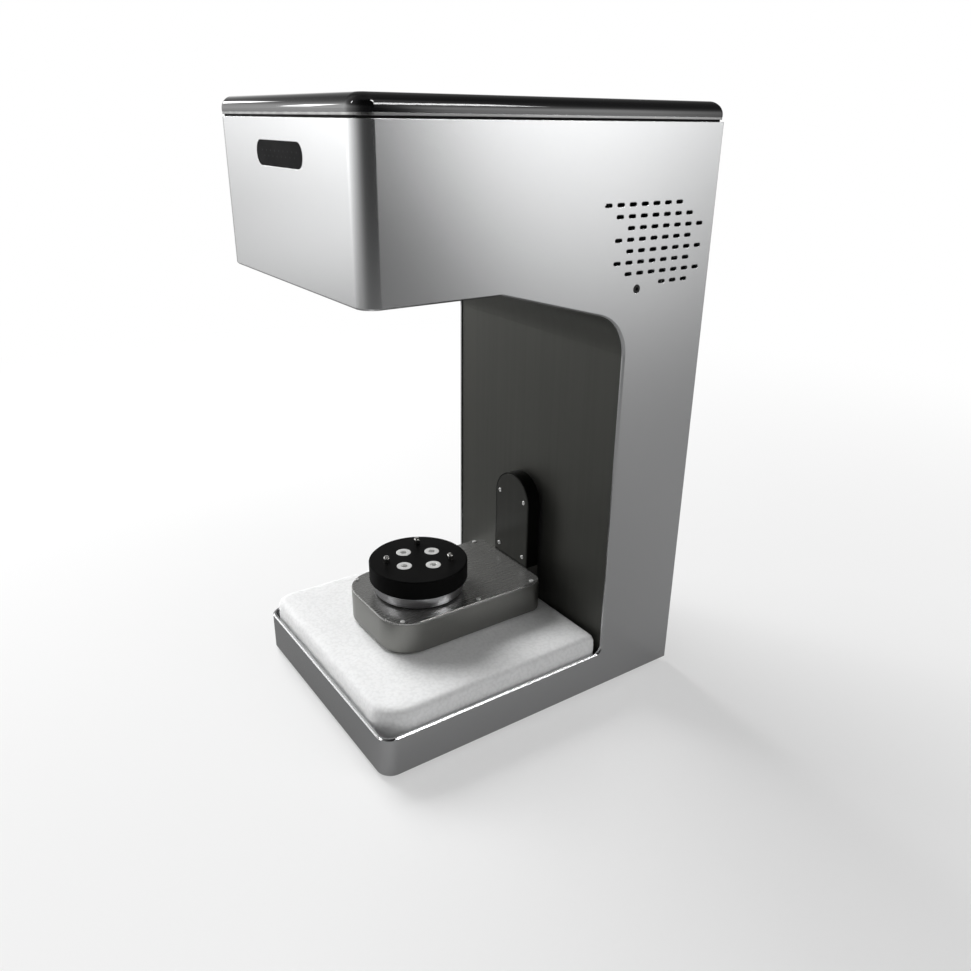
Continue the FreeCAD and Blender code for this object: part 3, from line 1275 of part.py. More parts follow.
def data_socket():
    """Square data socket: metal shell round a plastic tongue."""
    width, height, depth = DATA_SIZE
    ys = (REAR_OUTER - depth, REAR_OUTER + DATA_LIP_THICK)
    outer = even_prism("y", around(DATA_X, width / 2), around(DATA_Z, height / 2), ys, DATA_CORNER_R)
    inner = even_prism("y", around(DATA_X, width / 2 - DATA_WALL), around(DATA_Z, height / 2 - DATA_WALL),
                       (ys[0] + DATA_BACK_WALL, ys[1] + THROUGH), DATA_INNER_CORNER_R)
    tongue = box(around(DATA_X, DATA_TONGUE[0] / 2), (ys[0] + DATA_BACK_WALL / 2, ys[1] - DATA_TONGUE_SINK),
                 around(DATA_Z, DATA_TONGUE[1] / 2))
    lip = even_prism("y", around(DATA_X, width / 2 + DATA_LIP), around(DATA_Z, height / 2 + DATA_LIP),
                     (REAR_OUTER, ys[1]), DATA_CORNER_R)
    return [join([outer.fuse(lip).cut(inner), tongue])]


def fan_frame():
    """Square fan frame with a motor post on four thin arms."""
    ys = (REAR_INNER - FAN_DEPTH, REAR_INNER)
    half = FAN_SIDE / 2
    frame = even_prism("y", around(0, half), around(FAN_HEIGHT, half), ys, FAN_CORNER_R)
    cuts = [rod("y", 0, FAN_HEIGHT, FAN_BORE_R, ys[0] - THROUGH, ys[1] + THROUGH)]
    for x, z in fan_hole_places():
        cuts.append(rod("y", x, z, FAN_HOLE_R, ys[0] - THROUGH, ys[1] + THROUGH))
    parts = [frame.cut(cuts)]
    arm_width, arm_depth = FAN_ARM
    arm_ys = (ys[0], ys[0] + arm_depth)
    reach = FAN_BORE_R + SOFT_GAP
    parts.append(box(around(0, reach), arm_ys, around(FAN_HEIGHT, arm_width / 2)))
    parts.append(box(around(0, arm_width / 2), arm_ys, around(FAN_HEIGHT, reach)))
    parts.append(rod("y", 0, FAN_HEIGHT, FAN_HUB_R, *arm_ys))
    parts.append(rod("y", 0, FAN_HEIGHT, FAN_POST_R, ys[0], ys[1] - FAN_POST_SETBACK))
    return [join(parts)]


def fan_rotor():
    """Hub cap with pitched blades, running on the frame's post."""
    arm_end = REAR_INNER - FAN_DEPTH + FAN_ARM[1]
    ys = (arm_end + FAN_ROTOR_GAP, REAR_INNER - REAR_WALL)
    hub = rod("y", 0, FAN_HEIGHT, FAN_HUB_R, *ys)
    bore = rod("y", 0, FAN_HEIGHT, FAN_POST_R + FAN_POST_FIT, ys[0] - THROUGH,
               REAR_INNER - FAN_POST_SETBACK + MOVING_GAP)
    swept = (ys[0] + FAN_BLADE_INSET, ys[1] - FAN_BLADE_INSET)
    rim = rod("y", 0, FAN_HEIGHT, FAN_ROTOR_R, *swept)
    middle = sum(swept) / 2
    blades = []
    for index in range(FAN_BLADES):
        blade = box((FAN_HUB_R - FAN_BLADE_ROOT, FAN_ROTOR_R + THROUGH), around(middle, FAN_BLADE_THICK / 2),
                    around(FAN_HEIGHT, FAN_BLADE_CHORD / 2))
        blade.rotate(Vector(0, middle, FAN_HEIGHT), Vector(1, 0, 0), FAN_BLADE_PITCH)
        blade.rotate(Vector(0, middle, FAN_HEIGHT), Vector(0, 1, 0), index * 360.0 / FAN_BLADES)
        blades.append(blade.common(rim))
    return [join([hub] + blades).cut(bore)]


# ---------------------------------------------------------------- swing drive
def bearing(axis, u, v, outer, inner, w0, width):
    """Ball bearing: two races with recessed shields between them."""
    wall = (outer - inner) * BEARING_RACE_SHARE
    races = [ring(axis, u, v, outer, outer - wall, w0, w0 + width)]
    races.append(ring(axis, u, v, inner + wall, inner, w0, w0 + width))
    shields = ring(axis, u, v, outer - wall + SHIELD_GAP, inner + wall - SHIELD_GAP, w0 + SHIELD_SINK,
                   w0 + width - SHIELD_SINK)
    return join(races + [shields])


def bearing_housing():
    """Flanged housing for the swing bearings, through the spine."""
    barrel = rod("y", 0, SWING_HEIGHT, HOUSING_R, HOUSING_FRONT, HOUSING_BACK)
    flange = rod("y", 0, SWING_HEIGHT, HOUSING_FLANGE_R, SPINE_FRONT - HOUSING_FLANGE_THICK, SPINE_FRONT)
    seat_r = BEARING_R + RUNNING_FIT
    shoulder = (FRONT_BEARING_Y + BEARING_WIDTH, REAR_BEARING_Y)
    cuts = [rod("y", 0, SWING_HEIGHT, BEARING_R - BEARING_SHOULDER, HOUSING_FRONT - THROUGH,
                HOUSING_BACK + THROUGH)]
    cuts.append(rod("y", 0, SWING_HEIGHT, seat_r, HOUSING_FRONT - THROUGH, shoulder[0]))
    cuts.append(rod("y", 0, SWING_HEIGHT, seat_r, shoulder[1], HOUSING_BACK + THROUGH))
    return [join([barrel, flange]).cut(cuts)]


def swing_bearings():
    """Front and rear bearings of the swing shaft."""
    outer, inner = BEARING_R, SHAFT_R + RUNNING_FIT
    return [bearing("y", 0, SWING_HEIGHT, outer, inner, y, BEARING_WIDTH)
            for y in (FRONT_BEARING_Y, REAR_BEARING_Y)]


def swing_shaft():
    """Stepped shaft with a flange that carries the arm's riser."""
    hub_end = FRONT_BEARING_Y - SHAFT_HUB_GAP
    parts = [rod("y", 0, SWING_HEIGHT, SHAFT_FLANGE_R, RISER_BACK, RISER_BACK + SHAFT_FLANGE_THICK)]
    parts.append(rod("y", 0, SWING_HEIGHT, SHAFT_HUB_R, RISER_BACK, hub_end))
    parts.append(rod("y", 0, SWING_HEIGHT, SHAFT_R, RISER_BACK, GEAR_BACK + SHAFT_TAIL))
    holes = [rod("y", x, z, M3_R + RUNNING_FIT, RISER_BACK - THROUGH, RISER_BACK + SHAFT_FLANGE_THICK)
             for x, z in hub_screw_places()]
    return [join(parts).cut(holes)]


def hub_screw_places():
    """Centres of the screws between the riser and the shaft's flange."""
    places = []
    for step in range(4):
        angle = math.radians(45 + 90 * step)
        places.append((HUB_SCREW_CIRCLE_R * math.cos(angle),
                       SWING_HEIGHT + HUB_SCREW_CIRCLE_R * math.sin(angle)))
    return places


def tooth_outline(teeth, phase):
    """Points round a spur gear in its own plane, with a tooth centred at the phase angle."""
    pitch_r = GEAR_MODULE * teeth / 2
    base_r = pitch_r * math.cos(math.radians(PRESSURE_ANGLE))
    tip_r = pitch_r + GEAR_MODULE * TOOTH_ADDENDUM
    root_r = pitch_r - GEAR_MODULE * TOOTH_DEDENDUM
    start_r = max(base_r, root_r)
    half_pitch = math.pi / (2 * teeth) - TOOTH_BACKLASH / (2 * pitch_r)

    def involute(radius):
        angle = math.acos(min(1.0, base_r / radius))
        return math.tan(angle) - angle

    flank = []
    for step in range(4):
        radius = start_r + (tip_r - start_r) * step / 3
        flank.append((radius, half_pitch + involute(pitch_r) - involute(radius)))
    if root_r < start_r:
        flank.insert(0, (root_r, flank[0][1]))
    points = []
    for tooth in range(teeth):
        centre = math.radians(phase) + 2 * math.pi * tooth / teeth
        for radius, half in flank:
            points.append((radius * math.cos(centre - half), radius * math.sin(centre - half)))
        for radius, half in reversed(flank):
            points.append((radius * math.cos(centre + half), radius * math.sin(centre + half)))
    return points


def spur_gear(teeth, phase, z, y0, y1, bore_r):
    """Spur gear about an axis along Y through x = 0."""
    corners = [Vector(x, y0, z + dz) for x, dz in tooth_outline(teeth, phase)]
    blank = Part.Face(Part.makePolygon(corners + corners[:1])).extrude(Vector(0, y1 - y0, 0))
    return blank.cut(rod("y", 0, z, bore_r, y0 - THROUGH, y1 + THROUGH))


def swing_gear():
    """Large gear on the swing shaft, lightened by six holes."""
    gear = spur_gear(GEAR_TEETH, 90.0, SWING_HEIGHT, GEAR_FRONT, GEAR_BACK, SHAFT_R + RUNNING_FIT)
    holes = []
    for step in range(GEAR_HOLES):
        angle = 2 * math.pi * step / GEAR_HOLES
        x = GEAR_HOLE_CIRCLE_R * math.cos(angle)
        z = SWING_HEIGHT + GEAR_HOLE_CIRCLE_R * math.sin(angle)
        holes.append(rod("y", x, z, GEAR_HOLE_R, GEAR_FRONT - THROUGH, GEAR_BACK + THROUGH))
    return [gear.cut(holes)]


def swing_pinion():
    """Pinion on the swing motor's shaft, a gap facing the large gear's tooth."""
    phase = -90.0 + 180.0 / PINION_TEETH
    ys = (GEAR_FRONT - PINION_OVERLAP, GEAR_BACK + PINION_OVERLAP)
    pinion = spur_gear(PINION_TEETH, phase, PINION_Z, ys[0], ys[1], MOTOR_SHAFT_R)
    shaft = rod("y", 0, PINION_Z, MOTOR_SHAFT_R, GEAR_FRONT - PINION_SHAFT_STUB,
                SWING_MOTOR_FACE - MOTOR_SHAFT_TIP_GAP)
    return [join([pinion, shaft])]


def motor_bracket():
    """Plate on two legs that holds the swing motor behind the spine."""
    half = SWING_MOTOR_SIDE / 2 + MOTOR_EAR
    plate_ys = (SWING_MOTOR_FACE - MOTOR_PLATE_THICK, SWING_MOTOR_FACE)
    parts = [box(around(0, half), plate_ys, around(PINION_Z, SWING_MOTOR_SIDE / 2))]
    leg_zs = (PINION_Z - MOTOR_LEG_DROP, PINION_Z + SWING_MOTOR_SIDE / 2)
    for side in (-1, 1):
        leg_xs = sorted((side * (half - MOTOR_LEG_THICK), side * half))
        parts.append(box(leg_xs, (SPINE_BACK, plate_ys[1]), leg_zs))
        foot_xs = sorted((side * half, side * (half + MOTOR_FOOT)))
        parts.append(box(foot_xs, (SPINE_BACK, SPINE_BACK + MOTOR_LEG_THICK), leg_zs))
    hole = rod("y", 0, PINION_Z, MOTOR_PILOT_R + PLUG_FIT, plate_ys[0] - THROUGH, plate_ys[1] + THROUGH)
    return [join(parts).cut(hole)]


def swing_motor():
    """Square stepper motor with a pilot ring."""
    half = SWING_MOTOR_SIDE / 2
    ys = (SWING_MOTOR_FACE, SWING_MOTOR_FACE + SWING_MOTOR_LENGTH)
    body = even_prism("y", around(0, half), around(PINION_Z, half), ys, MOTOR_CORNER_R)
    pilot = rod("y", 0, PINION_Z, MOTOR_PILOT_R, SWING_MOTOR_FACE - MOTOR_PILOT_HEIGHT, SWING_MOTOR_FACE)
    bore = rod("y", 0, PINION_Z, MOTOR_SHAFT_R + MOTOR_SHAFT_GAP, SWING_MOTOR_FACE - MOTOR_BORE_DEPTH,
               SWING_MOTOR_FACE)
    return [join([body, pilot]).cut(bore)]


# ---------------------------------------------------------------- swing arm
def arch(radius, bottom, y0, y1):
    """Upright slab with a round top about the swing axis."""
    slab = box((-radius, radius), (y0, y1), (bottom, SWING_HEIGHT))
    return slab.fuse(rod("y", 0, SWING_HEIGHT, radius, y0, y1)).removeSplitter()


def arm_plan(inset, z0, z1):
    """Platform outline: large nose corners, smaller tail corners."""
    nose = ARM_NOSE_R - inset
    tail = max(ARM_TAIL_R - inset, 1.0)
    xs = around(0, ARM_HALF_WIDTH - inset)
    ys = (ARM_FRONT + inset, RISER_FRONT - inset)
    return rounded_prism("z", xs, ys, (z0, z1), (nose, nose, tail, tail))


def cover_screw_places():
    """Centres of the platform cover's screws."""
    return [(side * x, y) for side in (-1, 1) for x, y in COVER_SCREW_XYS]


def riser_screw_places():
    """Centres of the riser cover's screws."""
    return [(side * RISER_SCREW_X, z) for side in (-1, 1) for z in RISER_SCREW_ZS]


def arm_body():
    """L-shaped casting: open platform box in front, hollow riser behind."""
    box_part = arm_plan(0, ARM_BOTTOM, ARM_BOX_TOP)
    low = [edge for edge in box_part.Edges if abs(edge.BoundBox.ZMax - ARM_BOTTOM) < 1e-4]
    box_part = box_part.makeFillet(ARM_EDGE_R, low)
    box_part = box_part.cut(arm_plan(ARM_WALL, ARM_INSIDE_Z, ARM_TOP))
    posts = []
    for x, y in cover_screw_places():
        posts.append(rod("z", x, y, COVER_POST_R, ARM_INSIDE_Z - COVER_POST_SINK, ARM_BOX_TOP))
    keep_in = arm_plan(0, ARM_BOTTOM, ARM_BOX_TOP)
    posts = [post.common(keep_in) for post in posts]
    riser = arch(RISER_R, ARM_BOTTOM + ARM_EDGE_R, RISER_FRONT, RISER_BACK)
    seat_y = RISER_FRONT + RISER_COVER_THICK - RISER_COVER_PROUD
    seat = arch(RISER_R - RISER_BORDER, ARM_TOP + RISER_BORDER, RISER_FRONT - THROUGH, seat_y)
    hollow = arch(RISER_R - RISER_WALL, ARM_TOP + RISER_HOLLOW_RISE, seat_y - THROUGH, RISER_BACK - RISER_SHELL)
    lugs = [rod("y", x, z, RISER_LUG_R, seat_y, RISER_BACK - RISER_LUG_SETBACK)
            for x, z in riser_screw_places()]
    body = join([box_part] + posts + [riser.cut([seat, hollow])] + lugs)
    return [body.cut(arm_screw_holes(seat_y))]


def arm_screw_holes(seat_y):
    """Screw holes of the arm casting."""
    holes = [rod("z", x, y, M2_R + RUNNING_FIT, ARM_BOX_TOP - M2_LENGTH, ARM_BOX_TOP + THROUGH)
             for x, y in cover_screw_places()]
    holes += [rod("y", x, z, M2_R + RUNNING_FIT, seat_y - THROUGH, seat_y + M2_LENGTH)
              for x, z in riser_screw_places()]
    holes += [rod("y", x, z, M3_R + RUNNING_FIT, RISER_BACK - RISER_SHELL - THROUGH, RISER_BACK + THROUGH)
              for x, z in hub_screw_places()]
    return holes


def arm_hub_screws():
    """Screws inside the riser that hold it on the shaft's flange."""
    seat = RISER_BACK - RISER_SHELL
    return [screw("y", x, z, seat, -1, M3_HEAD_R, M3_HEAD_HEIGHT, M3_R, RISER_SHELL + SHAFT_FLANGE_THICK)
            for x, z in hub_screw_places()]


def riser_cover():
    """Arched plate on the riser's front."""
    front = RISER_FRONT - RISER_COVER_PROUD
    radius = RISER_R - RISER_BORDER - 2 * PLUG_FIT
    plate = arch(radius, ARM_TOP + RISER_BORDER + 2 * PLUG_FIT, front, front + RISER_COVER_THICK)
    holes = [rod("y", x, z, M2_HOLE_R, front - THROUGH, RISER_BACK) for x, z in riser_screw_places()]
    return [plate.cut(holes)]


def riser_cover_screws():
    """Small domed screws of the riser cover."""
    front = RISER_FRONT - RISER_COVER_PROUD
    return [screw("y", x, z, front, -1, M2_HEAD_R, M2_HEAD_HEIGHT, M2_R, M2_LENGTH)
            for x, z in riser_screw_places()]


def platform_cover():
    """Lid of the platform box, with the bearing carrier's hole."""
    plate = arm_plan(COVER_EDGE_GAP, ARM_BOX_TOP, ARM_TOP)
    top = [edge for edge in plate.Edges if abs(edge.BoundBox.ZMin - ARM_TOP) < 1e-4]
    plate = plate.makeChamfer(COVER_CHAMFER, top)
    cuts = [rod("z", 0, TURNTABLE_Y, CARRIER_BARREL_R + PLUG_FIT, ARM_BOX_TOP - THROUGH, ARM_TOP + THROUGH)]
    cuts += [rod("z", x, y, M2_HOLE_R, ARM_BOX_TOP - THROUGH, ARM_TOP + THROUGH)
             for x, y in cover_screw_places()]
    return [plate.cut(cuts)]


def platform_cover_screws():
    """Small domed screws of the platform cover."""
    return [screw("z", x, y, ARM_TOP, 1, M2_HEAD_R, M2_HEAD_HEIGHT, M2_R, M2_LENGTH)
            for x, y in cover_screw_places()]


# ---------------------------------------------------------------- turntable
def bearing_carrier():
    """Flanged sleeve for the turntable bearings, on the platform cover."""
    parts = [rod("z", 0, TURNTABLE_Y, CARRIER_BARREL_R, CARRIER_BOTTOM, CARRIER_TOP)]
    parts.append(rod("z", 0, TURNTABLE_Y, CARRIER_FLANGE_R, ARM_TOP, CARRIER_TOP))
    bore = rod("z", 0, TURNTABLE_Y, SMALL_BEARING_R + RUNNING_FIT, CARRIER_BOTTOM + CARRIER_LIP,
               CARRIER_TOP + THROUGH)
    neck = rod("z", 0, TURNTABLE_Y, SMALL_BEARING_R - BEARING_SHOULDER, CARRIER_BOTTOM - THROUGH, CARRIER_TOP)
    return [join(parts).cut([bore, neck])]


def turntable_bearings():
    """Lower and upper bearings of the turntable spindle."""
    tops = (LOWER_BEARING_TOP, UPPER_BEARING_TOP)
    return [bearing("z", 0, TURNTABLE_Y, SMALL_BEARING_R, SPINDLE_R + RUNNING_FIT,
                    top - SMALL_BEARING_WIDTH, SMALL_BEARING_WIDTH) for top in tops]


def turntable_spindle():
    """Spindle with a shoulder on the upper bearing, up into the collar."""
    stem = rod("z", 0, TURNTABLE_Y, SPINDLE_R, PULLEY_BOTTOM - SHAFT_STUB, COLLAR_BOTTOM + SPINDLE_IN_COLLAR)
    shoulder = rod("z", 0, TURNTABLE_Y, SPINDLE_R + SPINDLE_SHOULDER, UPPER_BEARING_TOP + SHOULDER_GAP,
                   COLLAR_BOTTOM)
    return [join([stem, shoulder])]


def turntable_collar():
    """Bright collar that joins the spindle to the disc."""
    collar = rod("z", 0, TURNTABLE_Y, COLLAR_R, COLLAR_BOTTOM, DISC_BOTTOM)
    edges = [edge for edge in collar.Edges if is_circle_at(edge, "z", COLLAR_BOTTOM)]
    collar = collar.makeChamfer(COLLAR_CHAMFER, edges)
    cuts = [rod("z", 0, TURNTABLE_Y, SPINDLE_R + RUNNING_FIT, COLLAR_BOTTOM - THROUGH,
                COLLAR_BOTTOM + SPINDLE_IN_COLLAR)]
    cuts += [rod("z", x, y, DISC_SCREW_SHANK_R + RUNNING_FIT,
                 DISC_BOTTOM - DISC_SCREW_IN_COLLAR - DISC_SCREW_TIP_GAP, DISC_BOTTOM + THROUGH)
             for x, y in disc_screw_places()]
    return [collar.cut(cuts)]


def polar(radius, degrees):
    """Point on the turntable at a radius and an angle."""
    angle = math.radians(degrees)
    return (radius * math.cos(angle), TURNTABLE_Y + radius * math.sin(angle))


def disc_screw_places():
    """Centres of the disc's four screws."""
    return [polar(DISC_SCREW_CIRCLE_R, TABLE_REST_ANGLE + 45 + 90 * step) for step in range(4)]


def pin_places():
    """Centres of the three locating pins, one of them on the turntable's own axis line."""
    return [polar(PIN_CIRCLE_R, TABLE_REST_ANGLE + step * PIN_SPREAD) for step in (-1, 0, 1)]


def turntable_disc():
    """Thick disc that the work piece's plate stands on."""
    disc = rod("z", 0, TURNTABLE_Y, DISC_R, DISC_BOTTOM, DISC_TOP)
    rims = [edge for edge in disc.Edges
            if is_circle_at(edge, "z", DISC_TOP) or is_circle_at(edge, "z", DISC_BOTTOM)]
    disc = disc.makeChamfer(DISC_CHAMFER, rims)
    cuts = [rod("z", x, y, PIN_SHANK_R + RUNNING_FIT, DISC_TOP - PIN_DEPTH, DISC_TOP + THROUGH)
            for x, y in pin_places()]
    cuts += [countersink("z", x, y, DISC_TOP, 1, DISC_SCREW_HEAD_R, DISC_SCREW_HEAD_DEPTH,
                         DISC_SCREW_SHANK_R, DISC_THICK + THROUGH) for x, y in disc_screw_places()]
    return [disc.cut(cuts)]


def disc_screws():
    """Four large flush screws."""
    return [flat_screw("z", x, y, DISC_TOP, 1, DISC_SCREW_HEAD_R, DISC_SCREW_HEAD_DEPTH,
                       DISC_SCREW_SHANK_R, DISC_THICK + DISC_SCREW_IN_COLLAR) for x, y in disc_screw_places()]


def locating_pins():
    """Three stepped dowels with domed tops, each shank down in the disc."""
    pins = []
    for x, y in pin_places():
        head = rod("z", x, y, PIN_R, DISC_TOP, DISC_TOP + PIN_HEIGHT)
        top = [edge for edge in head.Edges if is_circle_at(edge, "z", DISC_TOP + PIN_HEIGHT)]
        shank = rod("z", x, y, PIN_SHANK_R, DISC_TOP - PIN_DEPTH, DISC_TOP)
        pins.append(join([head.makeFillet(PIN_DOME_R, top), shank]))
    return pins


def pulley(y, radius, bore_r):
    """Belt pulley with two thin flanges."""
    drum = rod("z", 0, y, radius, PULLEY_BOTTOM, PULLEY_TOP)
    flange_r = radius + PULLEY_FLANGE
    low = rod("z", 0, y, flange_r, PULLEY_BOTTOM, PULLEY_BOTTOM + PULLEY_FLANGE_THICK)
    high = rod("z", 0, y, flange_r, PULLEY_TOP - PULLEY_FLANGE_THICK, PULLEY_TOP)
    return join([drum, low, high]).cut(rod("z", 0, y, bore_r, PULLEY_BOTTOM - THROUGH, PULLEY_TOP + THROUGH))


def turntable_pulley():
    """Large pulley on the spindle."""
    return [pulley(TURNTABLE_Y, TABLE_PULLEY_R, SPINDLE_R + RUNNING_FIT)]


def motor_pulley():
    """Small pulley fixed on the turntable motor's shaft."""
    drum = pulley(TABLE_MOTOR_Y, MOTOR_PULLEY_R, MOTOR_SHAFT_R)
    shaft = rod("z", 0, TABLE_MOTOR_Y, MOTOR_SHAFT_R, PULLEY_BOTTOM - SHAFT_STUB,
                table_motor_face() - MOTOR_SHAFT_TIP_GAP)
    return [join([drum, shaft])]


def table_motor_face():
    """Height of the turntable motor's face, which looks down."""
    return ARM_BOX_TOP - TABLE_MOTOR_HEIGHT


def belt_loop(grow, z0, z1):
    """Solid racetrack round both pulleys, standing off them by a distance."""
    big = TABLE_PULLEY_R + grow
    small = MOTOR_PULLEY_R + grow
    lean = math.acos((big - small) / PULLEY_DISTANCE)

    def tangent(y, radius, side):
        return Vector(side * radius * math.sin(lean), y + radius * math.cos(lean), z0)

    corners = [tangent(TURNTABLE_Y, big, -1), tangent(TABLE_MOTOR_Y, small, -1),
               tangent(TABLE_MOTOR_Y, small, 1), tangent(TURNTABLE_Y, big, 1)]
    edges = [
        Part.LineSegment(corners[0], corners[1]).toShape(),
        Part.Arc(corners[1], Vector(0, TABLE_MOTOR_Y + small, z0), corners[2]).toShape(),
        Part.LineSegment(corners[2], corners[3]).toShape(),
        Part.Arc(corners[3], Vector(0, TURNTABLE_Y - big, z0), corners[0]).toShape(),
    ]
    return Part.Face(Part.Wire(edges)).extrude(Vector(0, 0, z1 - z0))


def drive_belt():
    """Flat belt round both pulleys."""
    zs = (PULLEY_BOTTOM + PULLEY_FLANGE_THICK + SOFT_GAP, PULLEY_TOP - PULLEY_FLANGE_THICK - SOFT_GAP)
    outer = belt_loop(SOFT_GAP + BELT_THICK, *zs)
    return [outer.cut(belt_loop(SOFT_GAP, zs[0] - THROUGH, zs[1] + THROUGH))]


def turntable_motor():
    """Flat motor hung under the platform cover, shaft down."""
    half = TABLE_MOTOR_SIDE / 2
    face = table_motor_face()
    body = even_prism("z", around(0, half), around(TABLE_MOTOR_Y, half), (face, ARM_BOX_TOP),
                      TABLE_MOTOR_CORNER_R)
    bore = rod("z", 0, TABLE_MOTOR_Y, MOTOR_SHAFT_R + MOTOR_SHAFT_GAP, face - THROUGH, face + TABLE_MOTOR_BORE)
    return [body.cut(bore)]


NODES = {
    "main_shell": main_shell,
    "throat_liner": throat_liner,
    "rear_panel": rear_panel,
    "rear_panel_screws": rear_panel_screws,
    "base_plate": base_plate,
    "rubber_feet": rubber_feet,
    "tray_pad": tray_pad,
    "lid_seal": lid_seal,
    "lid_trim": lid_trim,
    "top_cover": top_cover,
    "lid_screws": lid_screws,
    "side_screws": side_screws,
    "indicator_window": indicator_window,
    "indicator_board": indicator_board,
    "spine_frame": spine_frame,
    "head_bracket_right": lambda: [head_bracket()],
    "head_bracket_left": lambda: [mirrored(head_bracket())],
    "frame_screws": frame_screws,
    "optical_bench": optical_bench,
    "camera_mounts": lambda: both_sides(camera_mount()),
    "camera_right": lambda: [camera_body()],
    "camera_left": lambda: [mirrored(camera_body())],
    "camera_lens_right": lambda: [camera_lens()],
    "camera_lens_left": lambda: [mirrored(camera_lens())],
    "projector_body": projector_body,
    "projector_lens": projector_lens,
    "optical_window": optical_window,
    "window_retainer": window_retainer,
    "control_board": control_board,
    "power_supply": power_supply,
    "power_inlet": power_inlet,
    "inlet_blades": inlet_blades,
    "power_rocker": power_rocker,
    "data_socket": data_socket,
    "fan_frame": fan_frame,
    "fan_rotor": fan_rotor,
    "bearing_housing": bearing_housing,
    "swing_bearings": swing_bearings,
    "swing_shaft": swing_shaft,
    "swing_gear": swing_gear,
    "swing_pinion": swing_pinion,
    "motor_bracket": motor_bracket,
    "swing_motor": swing_motor,
    "arm_body": arm_body,
    "arm_hub_screws": arm_hub_screws,
    "riser_cover": riser_cover,
    "riser_cover_screws": riser_cover_screws,
    "platform_cover": platform_cover,
    "platform_cover_screws": platform_cover_screws,
    "bearing_carrier": bearing_carrier,
    "turntable_bearings": turntable_bearings,
    "turntable_spindle": turntable_spindle,
    "turntable_collar": turntable_collar,
    "turntable_disc": turntable_disc,
    "disc_screws": disc_screws,
    "locating_pins": locating_pins,
    "turntable_pulley": turntable_pulley,
    "motor_pulley": motor_pulley,
    "drive_belt": drive_belt,
    "turntable_motor": turntable_motor,
}


def main():
    """Builds every sub-part and writes each to its own file."""
    os.makedirs("parts", exist_ok=True)
    for name, build in NODES.items():
        solids = build()
        shape = solids[0] if len(solids) == 1 else Part.makeCompound(solids)
        shape.exportStep("parts/" + name + ".step")
        box_mm = shape.BoundBox
        print(name, len(shape.Solids), shape.isValid(), round(shape.Volume / 1000.0, 2),
              [round(v, 1) for v in (box_mm.XMin, box_mm.XMax, box_mm.YMin, box_mm.YMax,
                                     box_mm.ZMin, box_mm.ZMax)])


main()
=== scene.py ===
"""Looks of a desktop 3d scanner: finishes for every packed sub-part, the foam pad and the studio.

Metres throughout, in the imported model's own frame: +Z is up, the open throat faces -Y.
"""

import json
import logging
import math
from dataclasses import dataclass
from enum import Enum
from typing import Callable, Sequence

import bmesh
import bpy
from mathutils import Matrix, Vector, noise

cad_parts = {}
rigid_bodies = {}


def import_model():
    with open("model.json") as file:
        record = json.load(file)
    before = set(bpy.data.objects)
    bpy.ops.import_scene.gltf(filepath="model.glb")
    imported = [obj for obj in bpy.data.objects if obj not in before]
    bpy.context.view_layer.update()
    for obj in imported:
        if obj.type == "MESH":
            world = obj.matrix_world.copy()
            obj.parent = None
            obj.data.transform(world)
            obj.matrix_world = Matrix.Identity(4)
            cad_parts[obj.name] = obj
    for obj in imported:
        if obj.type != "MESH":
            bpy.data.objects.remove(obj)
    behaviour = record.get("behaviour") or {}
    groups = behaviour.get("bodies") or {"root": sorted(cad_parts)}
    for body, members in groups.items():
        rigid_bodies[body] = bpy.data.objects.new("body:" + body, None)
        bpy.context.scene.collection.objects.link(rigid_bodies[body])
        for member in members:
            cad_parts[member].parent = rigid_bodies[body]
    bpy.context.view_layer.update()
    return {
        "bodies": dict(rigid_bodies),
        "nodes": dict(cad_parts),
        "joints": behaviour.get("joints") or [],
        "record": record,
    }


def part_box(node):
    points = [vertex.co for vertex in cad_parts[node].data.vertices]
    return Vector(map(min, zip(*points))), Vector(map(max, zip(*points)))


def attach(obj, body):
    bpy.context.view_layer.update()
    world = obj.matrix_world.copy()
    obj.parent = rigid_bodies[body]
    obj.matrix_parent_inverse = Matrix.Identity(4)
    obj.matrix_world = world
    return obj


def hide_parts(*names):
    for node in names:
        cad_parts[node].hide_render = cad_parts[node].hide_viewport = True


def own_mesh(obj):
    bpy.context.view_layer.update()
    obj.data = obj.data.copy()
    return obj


LOG = logging.getLogger("scanner")
MM = 0.001
ARC_STEPS = 10
HALF_TURN = 180.0
FULL_TURN = 360.0

Colour = tuple[float, float, float]
Point = tuple[float, float, float]
Span = tuple[float, float]
Fade = tuple[float, float, float, float]
Socket = bpy.types.NodeSocket
Sockets = bpy.types.bpy_prop_collection

WHITE: Colour = (1.0, 1.0, 1.0)

# Places of the two colours and of the result among the sockets of a Mix node for colours.
MIX_COLOURS = (6, 7)
MIX_RESULT = 2

# Spans of a noise value, which lies about 0.5, over which an effect sets in.
MOST_NOISE: Span = (0.3, 0.7)
BROAD_LINES: Span = (0.35, 0.65)
LINE_TONES: Span = (0.25, 0.75)
WEAR_BREAKS: Span = (0.35, 0.62)
DUST_PATCHES: Span = (0.35, 0.75)
DUST_SPECKS: Span = (0.6, 0.72)
SMUDGE_PATCHES: Span = (0.42, 0.68)

# Cosine between the rounded and the true normal, from a plain face to a rubbed edge.
EDGE_TURN: Span = (0.99, 0.80)
# Upward part of the normal, from bare to dusty.
FACING_UP: Span = (0.55, 0.98)

# Scale of an effect's second noise, as a multiple of its first one's.
SLOW_DRIFT = 0.02
LINE_BANDS = 0.12
SPECK_SCALE = 40.0
FINE_SMUDGE = 9.0

# What a rubbed edge and dust make of the finish under them.
RUB_GAIN = 1.25
RUB_LIFT = 0.06
DUST_COLOUR: Colour = (0.55, 0.54, 0.52)
DUST_ROUGHNESS = 0.5

